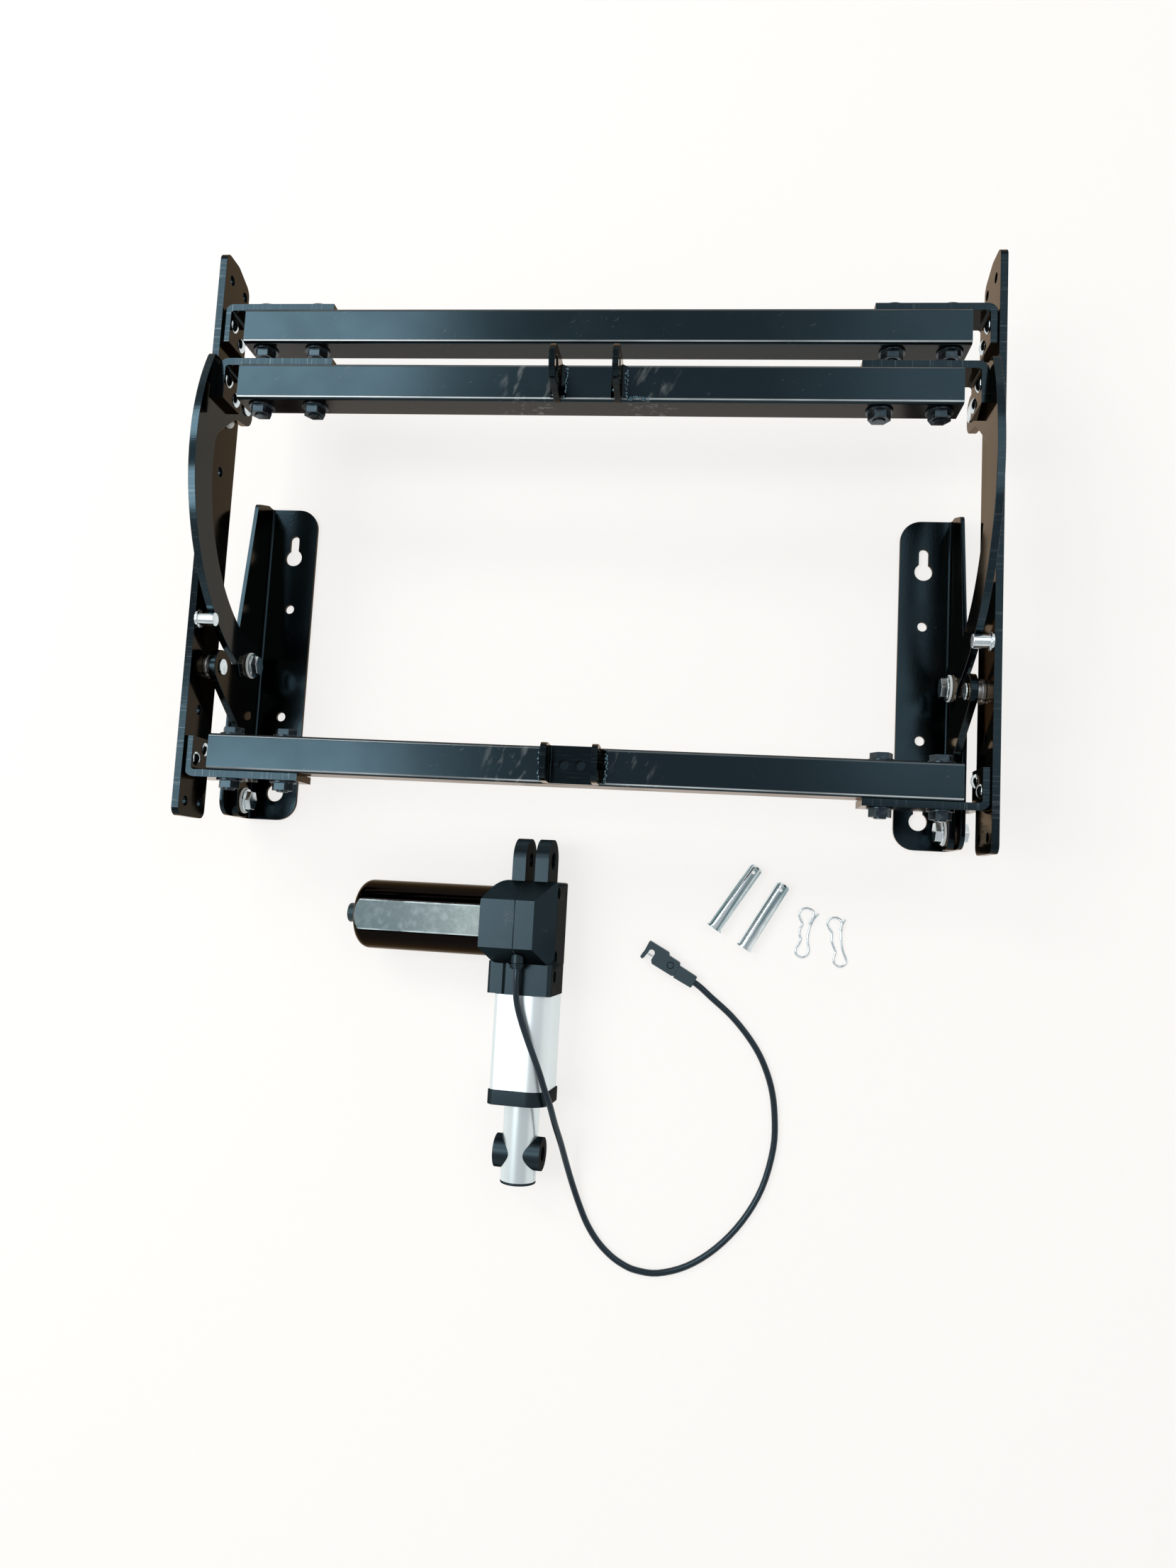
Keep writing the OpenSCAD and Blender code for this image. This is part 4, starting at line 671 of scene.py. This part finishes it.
drop = weldTree.node("GeometryNodeMeshIcoSphere", {}, {"Radius": weldTree.given("Drop"), "Subdivisions": 3})
size = weldTree.node("FunctionNodeRandomValue", {"data_type": "FLOAT"},
                     {2: weld["smallest"], 3: weld["largest"], "Seed": weldTree.given("Seed")}, 1)
beads = weldTree.node("GeometryNodeInstanceOnPoints", {}, {"Points": moved, "Instance": drop, "Scale": size})
weldTree.close(beads, weldFinish)


def weldLine(name, body, lines, sizes):
    points = [smoothPath([place(*point) for point in line], 2) for line in lines]
    addObject(name, weldTree.grow(lineCurve(points), sizes), weldFinish, body)


def seamBeside(x, y, reach, z):
    # a seam along y beside an upright plate, a little higher in its middle
    return [(x, y - reach, z), (x, y, z + 0.1), (x, y + reach, z)]


def seamsBeside(pair):
    # beads along a pair of upright plates, each so far outwards from a plate's inner face, and so far up
    return [seamBeside(side * (pair["inside"] + out), pair["y"], pair["reach"], pair["tubeTop"] + up)
            for side in (-1, 1) for out, up in pair["beads"]]


# Welds of the actuator's ears on the arms' tube: second seams as x, y and reach, and a crust behind one ear
ears = {"inside": 18, "y": 278, "reach": 10.5, "tubeTop": 132, "beads": ((-0.6, 0.7), (4.6, 0.7)),
        "seconds": ((-15.2, 279, 8.5), (24.4, 278, 9.5)), "crustX": (25, 32, 40),
        "crustY": 267.4, "crustZ": 131.6,
        "bead": {"Drop": 1.3 * mm, "Spread": 0.9 * mm, "Step": 0.55 * mm, "Seed": 5}}
earWelds = seamsBeside(ears) + [seamBeside(x, y, reach, ears["tubeTop"]) for x, y, reach in ears["seconds"]]
earWelds.append([(x, ears["crustY"], ears["crustZ"]) for x in ears["crustX"]])
weldLine("earWelds", "arm_frame", earWelds, ears["bead"])

# Welds of the rod's bracket on the rails' rear tube
fork = {"inside": 18.5, "y": 27, "reach": 10, "tubeTop": 108, "beads": ((1.0, 0.5), (3.2, 0.1)),
        "bead": {"Drop": 1.4 * mm, "Spread": 1.0 * mm, "Step": 0.6 * mm, "Seed": 9}}
weldLine("forkWelds", "seat_frame", seamsBeside(fork), fork["bead"])

# Parting ridge over the gearbox as y and z, and the grommet's rings as radius, y and thickness
actuator = {"x": -32.7, "z": 23.864, "ridgeX": -3.5, "ridgeRadius": 0.4,
            "ridge": [(-49.6, 16), (-63, 38.9), (-96.5, 38.9), (-103, 28.2)],
            "grommetX": -2.5, "grommetZ": 27, "ringPoints": 36,
            "rings": [(5.4, -107.6, 0.8), (4.6, -109.6, 0.6)]}
plug = {"x": 68, "y": -104.7, "top": 8.95, "ring": 2.5, "ringWire": 0.22, "ringPoints": 30}


def onActuator(x, y, z):
    # a point of the leaning actuator's own drawing
    return place(actuator["x"] + x * cos(lean) - z * sin(lean), y,
                 actuator["z"] + x * sin(lean) + z * cos(lean))


def circle(x, y, radius, count):
    turns = [2 * pi * k / count for k in range(count)]
    return [(x + radius * cos(turn), y + radius * sin(turn)) for turn in turns]


def plasticLine(name, spots, radius, closed=True):
    addObject(name, wireTree.grow(lineCurve([spots], closed), {"Radius": radius * mm}),
              finishes["black_plastic"], "base")


plasticLine("gearboxRidge", [onActuator(actuator["ridgeX"], y, z) for y, z in actuator["ridge"]],
            actuator["ridgeRadius"], closed=False)
for i, (radius, y, thick) in enumerate(actuator["rings"]):
    spotsRound = circle(actuator["grommetX"], actuator["grommetZ"], radius, actuator["ringPoints"])
    plasticLine("grommetRing" + str(i), [onActuator(x, y, z) for x, z in spotsRound], thick)
plugRing = circle(plug["x"], plug["y"], plug["ring"], plug["ringPoints"])
plasticLine("connectorRing", [place(x, y, plug["top"]) for x, y in plugRing], plug["ringWire"])
print("stage: wires and welds grown")


# A round floor that sweeps up into a low wall, in metres
cove = {"reach": 4.5, "bend": 1.2, "wall": 3.2, "sides": 96, "bendStep": 10, "colour": (0.97, 0.94, 0.90, 1),
        "seen": (1.0, 0.985, 0.965, 1), "whiteness": 0.75}

coveProfile = [(cove["reach"] + cove["bend"] * sin(radians(a)), cove["bend"] * (1 - cos(radians(a))))
               for a in range(0, 91, cove["bendStep"])] + [(cove["reach"] + cove["bend"], cove["wall"])]
covePoints = [(r * cos(2 * pi * k / cove["sides"]), r * sin(2 * pi * k / cove["sides"]), h)
              for r, h in coveProfile for k in range(cove["sides"])]
coveFaces = [tuple(range(cove["sides"]))]
for i in range(len(coveProfile) - 1):
    for k in range(cove["sides"]):
        near, far = i * cove["sides"], (i + 1) * cove["sides"]
        after = (k + 1) % cove["sides"]
        coveFaces.append((near + k, far + k, far + after, near + after))
floorMesh = bpy.data.meshes.new("floor")
floorMesh.from_pydata(covePoints, [], coveFaces)
for polygon in floorMesh.polygons:
    polygon.use_smooth = polygon.index > 0
floor = scratchObject("floor", floorMesh)

# the camera and the gloss see a near-white floor, and the lamps a pale one that keeps the shadow
floorPaint = Finish("paleFloor")
looked = sum(floorPaint.node("ShaderNodeLightPath", output=ray)
             for ray in ("Is Camera Ray", "Is Glossy Ray", "Is Transmission Ray"))
lit = floorPaint.node("ShaderNodeBsdfDiffuse", {}, {"Color": cove["colour"]})
white = floorPaint.node("ShaderNodeEmission", {}, {"Color": cove["seen"], "Strength": 1.0})
blend = floorPaint.node("ShaderNodeMixShader", {}, {0: looked * cove["whiteness"], 1: lit, 2: white})
floorPaint.node("ShaderNodeOutputMaterial", {}, {"Surface": blend})
floorMesh.materials.append(floorPaint.material)

lamps = {
    "farSoftbox": {"at": (-1.32, 1.2, 1.75), "size": (1.5, 0.7), "power": 20, "tone": (0.98, 1.0, 1.0)},
    "nearSoftbox": {"at": (-1.32, -0.06, 1.75), "size": (1.5, 0.7), "power": 20, "tone": (0.98, 1.0, 1.0)},
    "fill": {"at": (1.0, 0.8, 1.75), "size": (1.2, 1.4), "power": 6, "tone": (1.0, 1.0, 1.0)}}
air = {"colour": (0.97, 0.98, 1.0, 1), "strength": 0.56}

for name, lamp in lamps.items():
    data = bpy.data.lights.new(name, "AREA")
    data.shape = "RECTANGLE"
    data.size, data.size_y = lamp["size"]
    data.energy = lamp["power"]
    data.color = lamp["tone"]
    made = scratchObject(name, data)
    made.matrix_world = Matrix.Translation(lamp["at"])   # a lamp shines straight down

world = bpy.data.worlds.new("room")
world.use_nodes = True
bpy.context.scene.world = world
room = Tree(world.node_tree)
room.tree.nodes.clear()
sky = room.node("ShaderNodeBackground", {}, {"Color": air["colour"], "Strength": air["strength"]})
room.node("ShaderNodeOutputWorld", {}, {"Surface": sky})
bpy.context.scene.view_settings.view_transform = "Standard"
print("stage: room lit")
